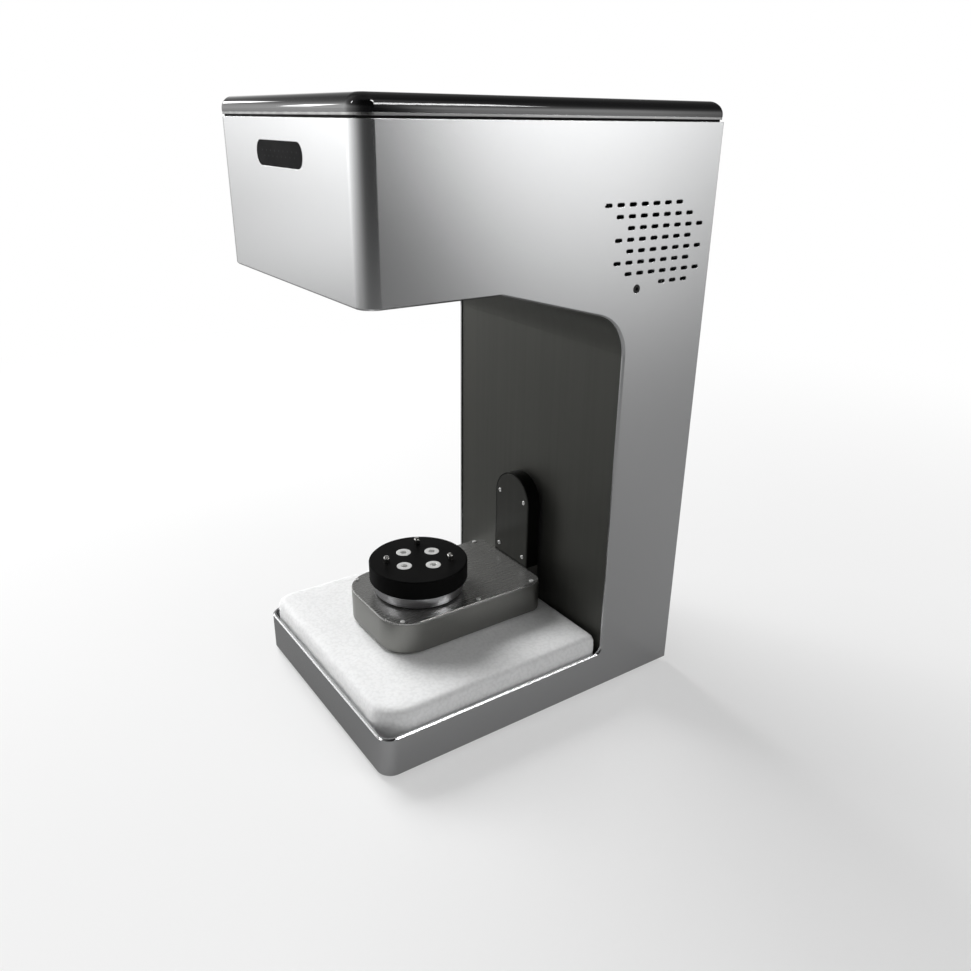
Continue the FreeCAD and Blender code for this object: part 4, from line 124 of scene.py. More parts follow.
# Share of a bump's height that shows.
BUMP_SHARE = 0.6
SOFT_BUMP_SHARE = 0.5


class Grain(Enum):
    """Which way a brushed surface's fine lines run, as the noise's stretch along X, Y and Z."""

    ALONG_X = (0.02, 1.0, 1.0)
    ALONG_Y = (1.0, 0.02, 1.0)
    ALONG_Z = (1.0, 1.0, 0.012)


class Axis(Enum):
    """Axis that a turned part was spun about."""

    Y = "Y"
    Z = "Z"


# ------------------------------------------------------------------ shader graphs
class Graph:
    """Adds and links the nodes of one shader tree."""

    def __init__(self, tree: bpy.types.NodeTree) -> None:
        """Starts on an empty tree.

        Args:
            tree: Tree that receives the nodes.
        """
        self.tree = tree
        self.tree.nodes.clear()

    def add(self, kind: str, **settings: object) -> bpy.types.Node:
        """Adds a node.

        Args:
            kind: Shader node type without its ShaderNode prefix.
            **settings: Properties to set on the node.

        Returns:
            The new node.
        """
        node = self.tree.nodes.new("ShaderNode" + kind)
        for name, value in settings.items():
            setattr(node, name, value)
        return node

    def join(self, source: Socket, target: Socket) -> None:
        """Links an output to an input."""
        self.tree.links.new(source, target)

    def feed(self, target: Socket, value: object) -> None:
        """Links a socket, or sets a plain value, on an input.

        Args:
            target: Input to fill.
            value: Another node's output, or a number or colour.
        """
        if isinstance(value, bpy.types.NodeSocket):
            self.join(value, target)
        else:
            target.default_value = value

    def math(self, operation: str, first: object, second: object = 0.0,
             clamp: bool = False) -> Socket:
        """Adds a Math node.

        Args:
            operation: Name of the operation, such as MULTIPLY.
            first: Left value or socket.
            second: Right value or socket.
            clamp: Keep the result between 0 and 1.

        Returns:
            The result's socket.
        """
        node = self.add("Math", operation=operation, use_clamp=clamp)
        self.feed(node.inputs[0], first)
        self.feed(node.inputs[1], second)
        return node.outputs[0]

    def remap(self, value: object, low: float, high: float, to_low: float = 0.0,
              to_high: float = 1.0) -> Socket:
        """Adds a smooth Map Range node.

        Args:
            value: Value or socket to map.
            low: Value that maps to to_low.
            high: Value that maps to to_high.
            to_low: Result at the low end.
            to_high: Result at the high end.

        Returns:
            The mapped value's socket.
        """
        node = self.add("MapRange", interpolation_type="SMOOTHSTEP")
        for socket, number in zip(node.inputs, (value, low, high, to_low, to_high)):
            self.feed(socket, number)
        return node.outputs[0]

    def ramp(self, value: Socket, stops: Sequence[Span]) -> Socket:
        """Adds a smooth curve through the given stops.

        Args:
            value: Socket to look up, 0 to 1.
            stops: Places from 0 to 1 and the value at each.

        Returns:
            The looked-up value's socket.
        """
        node = self.add("FloatCurve")
        points = node.mapping.curves[0].points
        ready = len(points)
        most = max(height for _, height in stops)
        for index, (place, height) in enumerate(stops):
            if index < ready:
                points[index].location = (place, height / most)
            else:
                points.new(place, height / most)
        node.mapping.update()
        self.join(value, node.inputs["Value"])
        return self.math("MULTIPLY", node.outputs[0], most)

    def mix(self, share: object, first: object, second: object) -> Socket:
        """Mixes two colours.

        Args:
            share: How much of the second colour shows, 0 to 1.
            first: Colour or socket.
            second: Colour or socket.

        Returns:
            The mixed colour's socket.
        """
        node = self.add("Mix", data_type="RGBA")
        self.feed(node.inputs[0], share)
        for place, value in zip(MIX_COLOURS, (first, second)):
            self.feed(node.inputs[place], opaque(value) if isinstance(value, tuple) else value)
        return node.outputs[MIX_RESULT]

    def noise(self, vector: Socket, scale: object, detail: float = 3.0,
              roughness: float = 0.5) -> Socket:
        """Adds a Noise texture.

        Args:
            vector: Place at which it is read.
            scale: Cells per metre.
            detail: Octaves.
            roughness: Strength of the finer octaves.

        Returns:
            The noise value's socket, about 0.5 in the mean.
        """
        node = self.add("TexNoise")
        self.join(vector, node.inputs["Vector"])
        self.feed(node.inputs["Scale"], scale)
        node.inputs["Detail"].default_value = detail
        node.inputs["Roughness"].default_value = roughness
        return node.outputs["Fac"]

    def place(self) -> Socket:
        """Gives the point on the object, in metres."""
        return self.add("TexCoord").outputs["Object"]

    def split(self, vector: Socket) -> Sockets:
        """Takes a vector apart.

        Args:
            vector: Socket to take apart.

        Returns:
            The outputs X, Y and Z.
        """
        node = self.add("SeparateXYZ")
        self.join(vector, node.inputs[0])
        return node.outputs

    def group(self, tree: bpy.types.NodeTree, **values: object) -> Sockets:
        """Places a node group.

        Args:
            tree: The group.
            **values: Inputs by name.

        Returns:
            The group's outputs.
        """
        node = self.add("Group", node_tree=tree)
        for name, value in values.items():
            self.feed(node.inputs[name], value)
        return node.outputs

    def bump(self, height: Socket, distance: float, strength: float = BUMP_SHARE,
             normal: Socket | None = None) -> Socket:
        """Adds a Bump node.

        Args:
            height: Height map.
            distance: Height of a value of 1, in metres.
            strength: Share of the bump that is used.
            normal: Normal to start from.

        Returns:
            The bumped normal's socket.
        """
        node = self.add("Bump")
        node.inputs["Strength"].default_value = strength
        node.inputs["Distance"].default_value = distance
        self.join(height, node.inputs["Height"])
        if normal is not None:
            self.join(normal, node.inputs["Normal"])
        return node.outputs["Normal"]

    def radius(self, first: Socket, second: Socket) -> Socket:
        """Gives the length of two parts that stand square to each other.

        Args:
            first: One part.
            second: The other part.

        Returns:
            The length's socket.
        """
        squares = [self.math("MULTIPLY", value, value) for value in (first, second)]
        return self.math("SQRT", self.math("ADD", *squares))


def opaque(colour: Sequence[float]) -> tuple[float, float, float, float]:
    """Adds a full alpha to a colour."""
    return (colour[0], colour[1], colour[2], 1.0)


def scaled(colour: Colour, gain: float, lift: float = 0.0) -> Colour:
    """Makes a colour brighter or darker.

    Args:
        colour: Colour to start from.
        gain: Factor on each part.
        lift: Amount added to each part.

    Returns:
        The new colour, no part over 1.
    """
    return tuple(min(1.0, value * gain + lift) for value in colour)


class GroupMaker:
    """Builds each shared effect once, as a node group with named sockets."""

    def __init__(self) -> None:
        """Builds all the groups."""
        self.grain = self.make("fine_grain", {"Scale": 900.0}, ("Height", "Mask"),
                               self.fill_grain)
        self.brush = self.make("brush_lines", {"Scale": 900.0}, ("Height", "Mask"),
                               self.fill_brush, True)
        self.wear = self.make("edge_wear", {"Width": 0.6 * MM, "Amount": 0.5, "Scale": 160.0},
                              ("Mask", "Normal"), self.fill_wear)
        self.dust = self.make("settled_dust", {"Amount": 0.3, "Scale": 45.0}, ("Mask",),
                              self.fill_dust)
        self.smudge = self.make("hand_smudge", {"Amount": 0.3, "Scale": 22.0}, ("Mask",),
                                self.fill_smudge)

    @staticmethod
    def make(name: str, inputs: dict[str, float], outputs: Sequence[str],
             fill: Callable[[Graph, Sockets, Sockets], None],
             stretched: bool = False) -> bpy.types.NodeTree:
        """Builds a node group.

        Args:
            name: The group's name.
            inputs: Float inputs and their defaults.
            outputs: Names of the outputs; Normal is a vector and the others are values.
            fill: Adds the nodes between the group's input and output nodes.
            stretched: Also give it a Stretch vector.

        Returns:
            The group.
        """
        tree = bpy.data.node_groups.new(name, "ShaderNodeTree")
        for label, value in inputs.items():
            socket = tree.interface.new_socket(label, in_out="INPUT",
                                               socket_type="NodeSocketFloat")
            socket.default_value = value
        if stretched:
            tree.interface.new_socket("Stretch", in_out="INPUT", socket_type="NodeSocketVector")
        for label in outputs:
            kind = "NodeSocketVector" if label == "Normal" else "NodeSocketFloat"
            tree.interface.new_socket(label, in_out="OUTPUT", socket_type=kind)
        graph = Graph(tree)
        entry = tree.nodes.new("NodeGroupInput")
        leave = tree.nodes.new("NodeGroupOutput")
        fill(graph, entry.outputs, leave.inputs)
        return tree

    @staticmethod
    def fill_grain(graph: Graph, given: Sockets, wanted: Sockets) -> None:
        """Fine paint or casting grain over a slow drift.

        Args:
            graph: Graph of the group.
            given: What the group is given.
            wanted: What the group puts out.
        """
        place = graph.place()
        fine = graph.noise(place, given["Scale"], 4.0, 0.6)
        slow = graph.noise(place, graph.math("MULTIPLY", given["Scale"], SLOW_DRIFT), 2.0)
        graph.join(fine, wanted["Height"])
        graph.join(graph.remap(slow, *MOST_NOISE), wanted["Mask"])

    @staticmethod
    def fill_brush(graph: Graph, given: Sockets, wanted: Sockets) -> None:
        """Long thin lines, from noise that is stretched along one way.

        Args:
            graph: Graph of the group.
            given: What the group is given.
            wanted: What the group puts out.
        """
        stretched = graph.add("VectorMath", operation="MULTIPLY")
        graph.join(graph.place(), stretched.inputs[0])
        graph.join(given["Stretch"], stretched.inputs[1])
        place = stretched.outputs[0]
        fine = graph.noise(place, given["Scale"], 5.0, 0.7)
        broad = graph.noise(place, graph.math("MULTIPLY", given["Scale"], LINE_BANDS), 2.0)
        graph.join(fine, wanted["Height"])
        graph.join(graph.remap(broad, *BROAD_LINES), wanted["Mask"])

    @staticmethod
    def fill_wear(graph: Graph, given: Sockets, wanted: Sockets) -> None:
        """Rubbed edges, found where the rounded normal leaves the true one.

        Args:
            graph: Graph of the group.
            given: What the group is given.
            wanted: What the group puts out.
        """
        bevel = graph.add("Bevel", samples=6)
        graph.join(given["Width"], bevel.inputs["Radius"])
        turn = graph.add("VectorMath", operation="DOT_PRODUCT")
        graph.join(bevel.outputs["Normal"], turn.inputs[0])
        graph.join(graph.add("NewGeometry").outputs["Normal"], turn.inputs[1])
        edge = graph.remap(turn.outputs["Value"], *EDGE_TURN)
        patches = graph.noise(graph.place(), given["Scale"], 4.0, 0.65)
        rubbed = graph.math("MULTIPLY", edge, graph.remap(patches, *WEAR_BREAKS))
        graph.join(graph.math("MULTIPLY", rubbed, given["Amount"], True), wanted["Mask"])
        graph.join(bevel.outputs["Normal"], wanted["Normal"])

    @staticmethod
    def fill_dust(graph: Graph, given: Sockets, wanted: Sockets) -> None:
        """Dust that lies on what faces up, in soft patches with fine specks.

        Args:
            graph: Graph of the group.
            given: What the group is given.
            wanted: What the group puts out.
        """
        normal = graph.split(graph.add("NewGeometry").outputs["Normal"])
        facing = graph.remap(normal["Z"], *FACING_UP)
        place = graph.place()
        patches = graph.remap(graph.noise(place, given["Scale"], 4.0, 0.6), *DUST_PATCHES)
        fine = graph.noise(place, graph.math("MULTIPLY", given["Scale"], SPECK_SCALE), 2.0)
        specks = graph.remap(fine, *DUST_SPECKS)
        both = graph.math("ADD", graph.math("MULTIPLY", patches, 0.5),
                          graph.math("MULTIPLY", specks, 0.5))
        lying = graph.math("MULTIPLY", both, facing)
        graph.join(graph.math("MULTIPLY", lying, given["Amount"], True), wanted["Mask"])

    @staticmethod
    def fill_smudge(graph: Graph, given: Sockets, wanted: Sockets) -> None:
        """Faint wiped and handled patches that change only the gloss.

        Args:
            graph: Graph of the group.
            given: What the group is given.
            wanted: What the group puts out.
        """
        place = graph.place()
        wide = graph.remap(graph.noise(place, given["Scale"], 3.0, 0.55), *SMUDGE_PATCHES)
        fine = graph.noise(place, graph.math("MULTIPLY", given["Scale"], FINE_SMUDGE), 3.0)
        handled = graph.math("MULTIPLY", wide, fine)
        graph.join(graph.math("MULTIPLY", handled, given["Amount"], True), wanted["Mask"])


# ------------------------------------------------------------------ finishes
class Paintbox:
    """Makes each finish's material once and hands it out again."""

    def __init__(self) -> None:
        """Starts with the shared groups and no materials."""
        self.groups = GroupMaker()
        self.made: dict[str, bpy.types.Material] = {}

    def material(self, finish: "Finish") -> bpy.types.Material:
        """Gives the material of a finish.

        Args:
            finish: The finish that is wanted.

        Returns:
            Its material.
        """
        if finish.name not in self.made:
            material = bpy.data.materials.new(finish.name)
            material.use_nodes = True
            graph = Graph(material.node_tree)
            shader = graph.add("BsdfPrincipled")
            output = graph.add("OutputMaterial")
            graph.join(shader.outputs[0], output.inputs["Surface"])
            finish.fill(graph, shader, self.groups)
            self.made[finish.name] = material
        return self.made[finish.name]


@dataclass(frozen=True)
class Finish:
    """What every finish has: a name, a colour, its gloss, worn edges and dust."""

    name: str
    colour: Colour
    roughness: float
    metallic: float = 0.0
    wear: float = 0.3
    wear_width: float = 0.5 * MM
    dust: float = 0.0
    specular: float = 0.5

    def fill(self, graph: Graph, shader: bpy.types.Node, groups: GroupMaker) -> None:
        """Adds the nodes of this finish.

        Args:
            graph: Graph of the material.
            shader: The material's Principled BSDF.
            groups: The shared effects.
        """
        raise NotImplementedError

    def finish_colour(self, graph: Graph, shader: bpy.types.Node, groups: GroupMaker,
                      colour: Socket, roughness: Socket) -> Socket:
        """Adds rubbed edges and dust over a colour, and joins them to the shader.

        Args:
            graph: Graph of the material.
            shader: The material's Principled BSDF.
            groups: The shared effects.
            colour: Colour without wear.
            roughness: Roughness without wear.

        Returns:
            The normal with softened edges.
        """
        worn = graph.group(groups.wear, Width=self.wear_width, Amount=self.wear)
        colour = graph.mix(worn["Mask"], colour, scaled(self.colour, RUB_GAIN, RUB_LIFT))
        if self.dust > 0:
            lying = graph.group(groups.dust, Amount=self.dust)["Mask"]
            colour = graph.mix(lying, colour, DUST_COLOUR)
            duller = graph.math("MULTIPLY", lying, DUST_ROUGHNESS)
            roughness = graph.math("ADD", roughness, duller, True)
        graph.join(colour, shader.inputs["Base Color"])
        graph.join(roughness, shader.inputs["Roughness"])
        shader.inputs["Metallic"].default_value = self.metallic
        shader.inputs["Specular IOR Level"].default_value = self.specular
        return worn["Normal"]


@dataclass(frozen=True)
class MetallicPaint(Finish):
    """Sprayed metallic paint: fine flakes and, where it has one, a faint orange peel."""

    flake: float = 0.10
    peel: float = 0.010 * MM
    grain_scale: float = 2600.0
    smudge: float = 0.07
    smudge_scale: float = 16.0
    gloss_drift: float = 0.01

    def fill(self, graph: Graph, shader: bpy.types.Node, groups: GroupMaker) -> None:
        """Adds flakes, peel and a slow drift of gloss.

        Args:
            graph: Graph of the material.
            shader: The material's Principled BSDF.
            groups: The shared effects.
        """
        grain = graph.group(groups.grain, Scale=self.grain_scale)
        flakes = graph.mix(graph.remap(grain["Height"], *MOST_NOISE),
                           scaled(self.colour, 1 - self.flake), scaled(self.colour, 1 + self.flake))
        colour = self.drift(graph, flakes)
        smudge = graph.group(groups.smudge, Amount=self.smudge, Scale=self.smudge_scale)
        base = graph.remap(grain["Mask"], 0.0, 1.0, self.roughness - self.gloss_drift,
                           self.roughness + self.gloss_drift)
        roughness = graph.math("ADD", base, smudge["Mask"])
        normal = self.finish_colour(graph, shader, groups, colour, roughness)
        if self.peel > 0:
            normal = graph.bump(grain["Height"], self.peel, SOFT_BUMP_SHARE, normal)
        graph.join(normal, shader.inputs["Normal"])

    def drift(self, graph: Graph, colour: Socket) -> Socket:
        """Gives the colour as it is; a finish with painted shade above a height changes it."""
        return colour


@dataclass(frozen=True)
class PaintedShadeAbove(MetallicPaint):
    """Metallic paint with painted shade above a given height: the upper part is made near black to
    stand in for the shade on the riser's side.
    """

    split_z: float = 0.0
    split_blur: float = 0.3 * MM
    # upper is the near-black tone of the painted shade.
    upper: Colour = (0.02, 0.02, 0.02)

    def drift(self, graph: Graph, colour: Socket) -> Socket:
        """Changes to the near-black painted shade over a short step.

        Args:
            graph: Graph of the material.
            colour: Lower tone.

        Returns:
            The colour of both parts.
        """
        height = graph.split(graph.place())["Z"]
        above = graph.remap(height, self.split_z - self.split_blur,
                            self.split_z + self.split_blur)
        return graph.mix(above, colour, self.upper)


@dataclass(frozen=True)
class BrushedMetal(Finish):
    """Metal or dark anodising with fine straight lines."""

    grain: Grain = Grain.ALONG_Z
    depth: float = 0.012 * MM
    line_scale: float = 1500.0
    contrast: float = 0.12
    anisotropic: float = 0.35
    gloss_drift: float = 0.05

    def fill(self, graph: Graph, shader: bpy.types.Node, groups: GroupMaker) -> None:
        """Adds lines to the colour, the gloss and the height.

        Args:
            graph: Graph of the material.
            shader: The material's Principled BSDF.
            groups: The shared effects.
        """
        lines = graph.group(groups.brush, Scale=self.line_scale, Stretch=self.grain.value)
        blended = graph.math("MULTIPLY", graph.math("ADD", lines["Height"], lines["Mask"]), 0.5)
        colour = graph.mix(graph.remap(blended, *LINE_TONES),
                           scaled(self.colour, 1 - self.contrast),
                           scaled(self.colour, 1 + self.contrast))
        roughness = graph.remap(lines["Height"], *MOST_NOISE, self.roughness - self.gloss_drift,
                                self.roughness + self.gloss_drift)
        normal = self.finish_colour(graph, shader, groups, colour, roughness)
        lined = graph.bump(lines["Height"], self.depth, normal=normal)
        graph.join(lined, shader.inputs["Normal"])
        shader.inputs["Anisotropic"].default_value = self.anisotropic


@dataclass(frozen=True)
class TurnedMetal(Finish):
    """Metal that was turned on a lathe, with rings about its own axis."""

    axis: Axis = Axis.Z
    depth: float = 0.010 * MM
    centre: Point = (0.0, 0.0, 0.0)
    ring_scale: float = 2200.0
    ring_shade: float = 0.88
    gloss_drift: Span = (0.04, 0.05)
    anisotropic: float = 0.6

    def fill(self, graph: Graph, shader: bpy.types.Node, groups: GroupMaker) -> None:
        """Adds rings by reading noise at the radius and the height alone.

        Args:
            graph: Graph of the material.
            shader: The material's Principled BSDF.
            groups: The shared effects.
        """
        offset = graph.add("VectorMath", operation="SUBTRACT")
        graph.join(graph.place(), offset.inputs[0])
        offset.inputs[1].default_value = self.centre
        parts = graph.split(offset.outputs[0])
        across, along = ("Y", "Z") if self.axis is Axis.Z else ("Z", "Y")
        ring_place = graph.add("CombineXYZ")
        graph.join(graph.radius(parts["X"], parts[across]), ring_place.inputs[0])
        graph.join(parts[along], ring_place.inputs[1])
        rings = graph.noise(ring_place.outputs[0], self.ring_scale, 3.0, 0.6)
        smoother, rougher = self.gloss_drift
        roughness = graph.remap(rings, *MOST_NOISE, self.roughness - smoother,
                                self.roughness + rougher)
        colour = graph.mix(graph.remap(rings, *MOST_NOISE), scaled(self.colour, self.ring_shade),
                           self.colour)
        normal = self.finish_colour(graph, shader, groups, colour, roughness)
        graph.join(graph.bump(rings, self.depth, normal=normal), shader.inputs["Normal"])
        shader.inputs["Anisotropic"].default_value = self.anisotropic
        tangent = graph.add("Tangent", direction_type="RADIAL", axis=self.axis.value)
        graph.join(tangent.outputs[0], shader.inputs["Tangent"])


@dataclass(frozen=True)
class Moulded(Finish):
    """Moulded plastic or rubber: from a spark-eroded grain to a polished face."""

    texture: float = 0.02 * MM
    grain_scale: float = 1800.0
    mottle_gain: float = 1.18
    mottle_lift: float = 0.002
    smudge: float = 0.2
    smudge_roughness: float = 0.35

    def fill(self, graph: Graph, shader: bpy.types.Node, groups: GroupMaker) -> None:
        """Adds a grain height and handled patches.

        Args:
            graph: Graph of the material.
            shader: The material's Principled BSDF.
            groups: The shared effects.
        """
        grain = graph.group(groups.grain, Scale=self.grain_scale)
        colour = graph.mix(grain["Mask"], self.colour,
                           scaled(self.colour, self.mottle_gain, self.mottle_lift))
        smudge = graph.group(groups.smudge, Amount=self.smudge)
        duller = graph.math("MULTIPLY", smudge["Mask"], self.smudge_roughness)
        roughness = graph.math("ADD", self.roughness, duller, True)
        normal = self.finish_colour(graph, shader, groups, colour, roughness)
        grained = graph.bump(grain["Height"], self.texture, normal=normal)
        graph.join(grained, shader.inputs["Normal"])


@dataclass(frozen=True)
class CoatedGlass(Finish):
    """Dark coated glass, clear enough to show what is behind it."""

    smudge: float = 0.25
    smudge_scale: float = 30.0
    smudge_roughness: float = 0.2
    clearness: float = 0.85
    index: float = 1.5

    def fill(self, graph: Graph, shader: bpy.types.Node, groups: GroupMaker) -> None:
        """Adds faint wiped patches to plain glass.

        Args:
            graph: Graph of the material.
            shader: The material's Principled BSDF.
            groups: The shared effects.
        """
        smudge = graph.group(groups.smudge, Amount=self.smudge, Scale=self.smudge_scale)
        duller = graph.math("MULTIPLY", smudge["Mask"], self.smudge_roughness)
        graph.join(graph.math("ADD", self.roughness, duller), shader.inputs["Roughness"])
        shader.inputs["Base Color"].default_value = opaque(self.colour)
        shader.inputs["Metallic"].default_value = 0.0
        shader.inputs["Transmission Weight"].default_value = self.clearness
        shader.inputs["IOR"].default_value = self.index


@dataclass(frozen=True)
class SmokedWindow(Finish):
    """Smoked gloss window with two faint rows of dots showing through."""

    half_length: float = 0.030
    middle_z: float = 0.4104
    dots: int = 9
    dot_radius: float = 0.55 * MM
    dot_edge: Span = (1.3, 0.7)
    dot_colour: Colour = (0.025, 0.026, 0.028)
    row_rise: float = 1.6 * MM
    end_fade: float = 0.96
    haze_scale: float = 700.0
    haze: float = 0.4
    smudge: float = 0.3
    smudge_scale: float = 60.0
    smudge_roughness: float = 0.3

    def fill(self, graph: Graph, shader: bpy.types.Node, groups: GroupMaker) -> None:
        """Adds two staggered rows of small dots to a dark gloss face.

        Args:
            graph: Graph of the material.
            shader: The material's Principled BSDF.
            groups: The shared effects.
        """
        place = graph.split(graph.place())
        pitch = 2 * self.half_length / self.dots
        rows = [self.row(graph, place, pitch, shift, rise)
                for shift, rise in ((0.0, self.row_rise), (0.5, -self.row_rise))]
        mask = graph.math("MAXIMUM", *rows)
        grain = graph.group(groups.grain, Scale=self.haze_scale)
        clear = graph.remap(grain["Mask"], 0.0, 1.0, self.haze, 1.0)
        colour = graph.mix(graph.math("MULTIPLY", mask, clear), self.colour, self.dot_colour)
        smudge = graph.group(groups.smudge, Amount=self.smudge, Scale=self.smudge_scale)
        duller = graph.math("MULTIPLY", smudge["Mask"], self.smudge_roughness)
        roughness = graph.math("ADD", self.roughness, duller)
        normal = self.finish_colour(graph, shader, groups, colour, roughness)
        graph.join(normal, shader.inputs["Normal"])

    def row(self, graph: Graph, place: Sockets, pitch: float, shift: float,
            rise: float) -> Socket:
        """Makes the mask of one row of dots.

        Args:
            graph: Graph of the material.
            place: Parts X, Y and Z of the place on the object.
            pitch: Distance between dots.
            shift: Share of a pitch that the row is moved along.
            rise: Height of the row over the window's middle.

        Returns:
            The mask's socket.
        """
        steps = graph.math("ADD", graph.math("DIVIDE", place["X"], pitch), shift)
        near = graph.math("SUBTRACT", steps, graph.math("ROUND", steps))
        along = graph.math("MULTIPLY", near, pitch)
        across = graph.math("SUBTRACT", place["Z"], self.middle_z + rise)
        outer, inner = self.dot_edge
        dot = graph.remap(graph.radius(along, across), self.dot_radius * outer,
                          self.dot_radius * inner)
        inside = graph.remap(graph.math("ABSOLUTE", place["X"]), self.half_length,
                             self.half_length * self.end_fade)
        return graph.math("MULTIPLY", dot, inside)


@dataclass(frozen=True)
class FoamFinish(Finish):
    """White expanded foam: small beads with painted shade in the gaps between them, faint darker
    blotches and a powdery sheen.
    """

    bead_scale: float = 420.0
    bead_depth: float = 0.35 * MM
    bead_softness: float = 0.6
    bead_edges: Span = (0.35, 0.75)
    blotch_scale: float = 90.0
    blotch_edges: Span = (0.55, 0.8)
    fuzz_scale: float = 2400.0
    fuzz_share: float = 0.5
    # darkening sets the tone of the darker blotches and of the painted shade between the beads.
    darkening: float = 0.93
    gloss_drift: float = 0.06
    sheen: float = 0.25
    glow_through: float = 0.12
    glow_depth: Point = (6.0 * MM, 6.0 * MM, 6.0 * MM)

    def fill(self, graph: Graph, shader: bpy.types.Node, groups: GroupMaker) -> None:
        """Adds beads, faint darker blotches and painted shade in the gaps between the beads to the
        white.

        Args:
            graph: Graph of the material.
            shader: The material's Principled BSDF.
            groups: The shared effects.
        """
        place = graph.place()
        cells = graph.add("TexVoronoi", feature="SMOOTH_F1")
        graph.join(place, cells.inputs["Vector"])
        cells.inputs["Scale"].default_value = self.bead_scale
        cells.inputs["Smoothness"].default_value = self.bead_softness
        gap = cells.outputs["Distance"]
        blotches = graph.noise(place, self.blotch_scale, 4.0, 0.6)
        fuzz = graph.noise(place, self.fuzz_scale, 3.0, 0.7)
        darker_white = scaled(self.colour, self.darkening)
        blotched = graph.mix(graph.remap(blotches, *self.blotch_edges), self.colour, darker_white)
        # Painted shade: the gaps between the beads, where the bump sinks, are made darker.
        colour = graph.mix(graph.remap(gap, *self.bead_edges), blotched, darker_white)
        graph.join(colour, shader.inputs["Base Color"])
        roughness = graph.remap(fuzz, *MOST_NOISE, self.roughness - self.gloss_drift, 1.0)
        graph.join(roughness, shader.inputs["Roughness"])
        shader.inputs["Sheen Weight"].default_value = self.sheen
        shader.inputs["Subsurface Weight"].default_value = self.glow_through
        shader.inputs["Subsurface Radius"].default_value = self.glow_depth
        beads = graph.math("SUBTRACT", 1.0, gap)
        height = graph.math("ADD", beads, graph.math("MULTIPLY", fuzz, self.fuzz_share))
        graph.join(graph.bump(height, self.bead_depth, SOFT_BUMP_SHARE), shader.inputs["Normal"])


@dataclass(frozen=True)
class CircuitFinish(Finish):
    """Solder-masked board with tracks and small pads."""

    track_scale: float = 260.0
    track_randomness: float = 0.35
    track_edge: Span = (0.12, 0.06)
    track_height: float = 0.03 * MM
    copper: Colour = (0.07, 0.30, 0.12)
    pad: Colour = (0.72, 0.66, 0.45)
    pad_scale: float = 1.3
    pad_edge: Span = (0.16, 0.10)
    grain_scale: float = 1200.0
    gloss_drift: float = 0.1

    def fill(self, graph: Graph, shader: bpy.types.Node, groups: GroupMaker) -> None:
        """Adds straight tracks under the mask and bright pads over it.

        Args:
            graph: Graph of the material.
            shader: The material's Principled BSDF.
            groups: The shared effects.
        """
        place = graph.place()
        tracks = graph.add("TexVoronoi", feature="DISTANCE_TO_EDGE", distance="EUCLIDEAN")
        graph.join(place, tracks.inputs["Vector"])
        tracks.inputs["Scale"].default_value = self.track_scale
        tracks.inputs["Randomness"].default_value = self.track_randomness
        line = graph.remap(tracks.outputs["Distance"], *self.track_edge)
        colour = graph.mix(line, self.colour, self.copper)
        dots = graph.add("TexVoronoi", feature="F1")
        graph.join(place, dots.inputs["Vector"])
        dots.inputs["Scale"].default_value = self.track_scale * self.pad_scale
        pads = graph.remap(dots.outputs["Distance"], *self.pad_edge)
        colour = graph.mix(pads, colour, self.pad)
        grain = graph.group(groups.grain, Scale=self.grain_scale)
        roughness = graph.remap(grain["Height"], *MOST_NOISE, self.roughness,
                                self.roughness + self.gloss_drift)
        normal = self.finish_colour(graph, shader, groups, colour, roughness)
        raised = graph.bump(line, self.track_height, normal=normal)
        graph.join(raised, shader.inputs["Normal"])


SATIN_SILVER = MetallicPaint("satin_silver", (0.70, 0.705, 0.71), 0.24, metallic=1.0, wear=0.04,
                             flake=0.004, peel=0.0, grain_scale=120.0, smudge=0.004)
GLOSS_BLACK = Moulded("gloss_black", (0.002, 0.002, 0.0025), 0.02, texture=0.001 * MM,
                      grain_scale=260.0, smudge=0.03, wear=0.0, wear_width=0.03 * MM,
                      dust=0.006, specular=0.9)
LIGHT_TRIM = BrushedMetal("light_trim", (0.34, 0.34, 0.34), 0.28, metallic=1.0,
                          grain=Grain.ALONG_Y)
SEAL_BLACK = Moulded("seal_black", (0.008, 0.008, 0.008), 0.7, wear=0.05, specular=0.2)
SMOKED = SmokedWindow("smoked_window", (0.004, 0.004, 0.0045), 0.45, wear=0.05,
                      wear_width=0.3 * MM, specular=0.03)
PANEL_GREY = BrushedMetal("panel_grey", (0.088, 0.089, 0.081), 0.42, metallic=0.6,
                          contrast=0.02, anisotropic=0.1, depth=0.0015 * MM, specular=0.3,
                          wear=0.1)
# Painted shade: above split_z the riser part of the arm is made near black for the shadow on its
# side.
ARM_GREY_PAINTED_SHADE = PaintedShadeAbove("arm_grey", (0.24, 0.24, 0.228), 0.34, metallic=0.9, flake=0.02,
                        wear=0.06, peel=0.002 * MM, grain_scale=900.0, split_z=0.0802,
                        upper=(0.018, 0.018, 0.017))
COVER_GREY = BrushedMetal("cover_grey", (0.37, 0.37, 0.36), 0.25, metallic=0.78,
                          grain=Grain.ALONG_Y, contrast=0.015, depth=0.00005 * MM,
                          anisotropic=0.0, wear=0.06)
RISER_GREY = BrushedMetal("riser_grey", (0.078, 0.079, 0.073), 0.36, metallic=0.9,
                          contrast=0.02, depth=0.001 * MM, anisotropic=0.1, wear=0.1)
DISC_BLACK = Moulded("disc_black", (0.0025, 0.0025, 0.0025), 0.5, texture=0.004 * MM,
                     grain_scale=1200.0, wear=0.03, dust=0.003, specular=0.04)
BRIGHT_SCREW = TurnedMetal("bright_screw", (0.88, 0.88, 0.87), 0.22, metallic=0.4,
                           anisotropic=0.2)
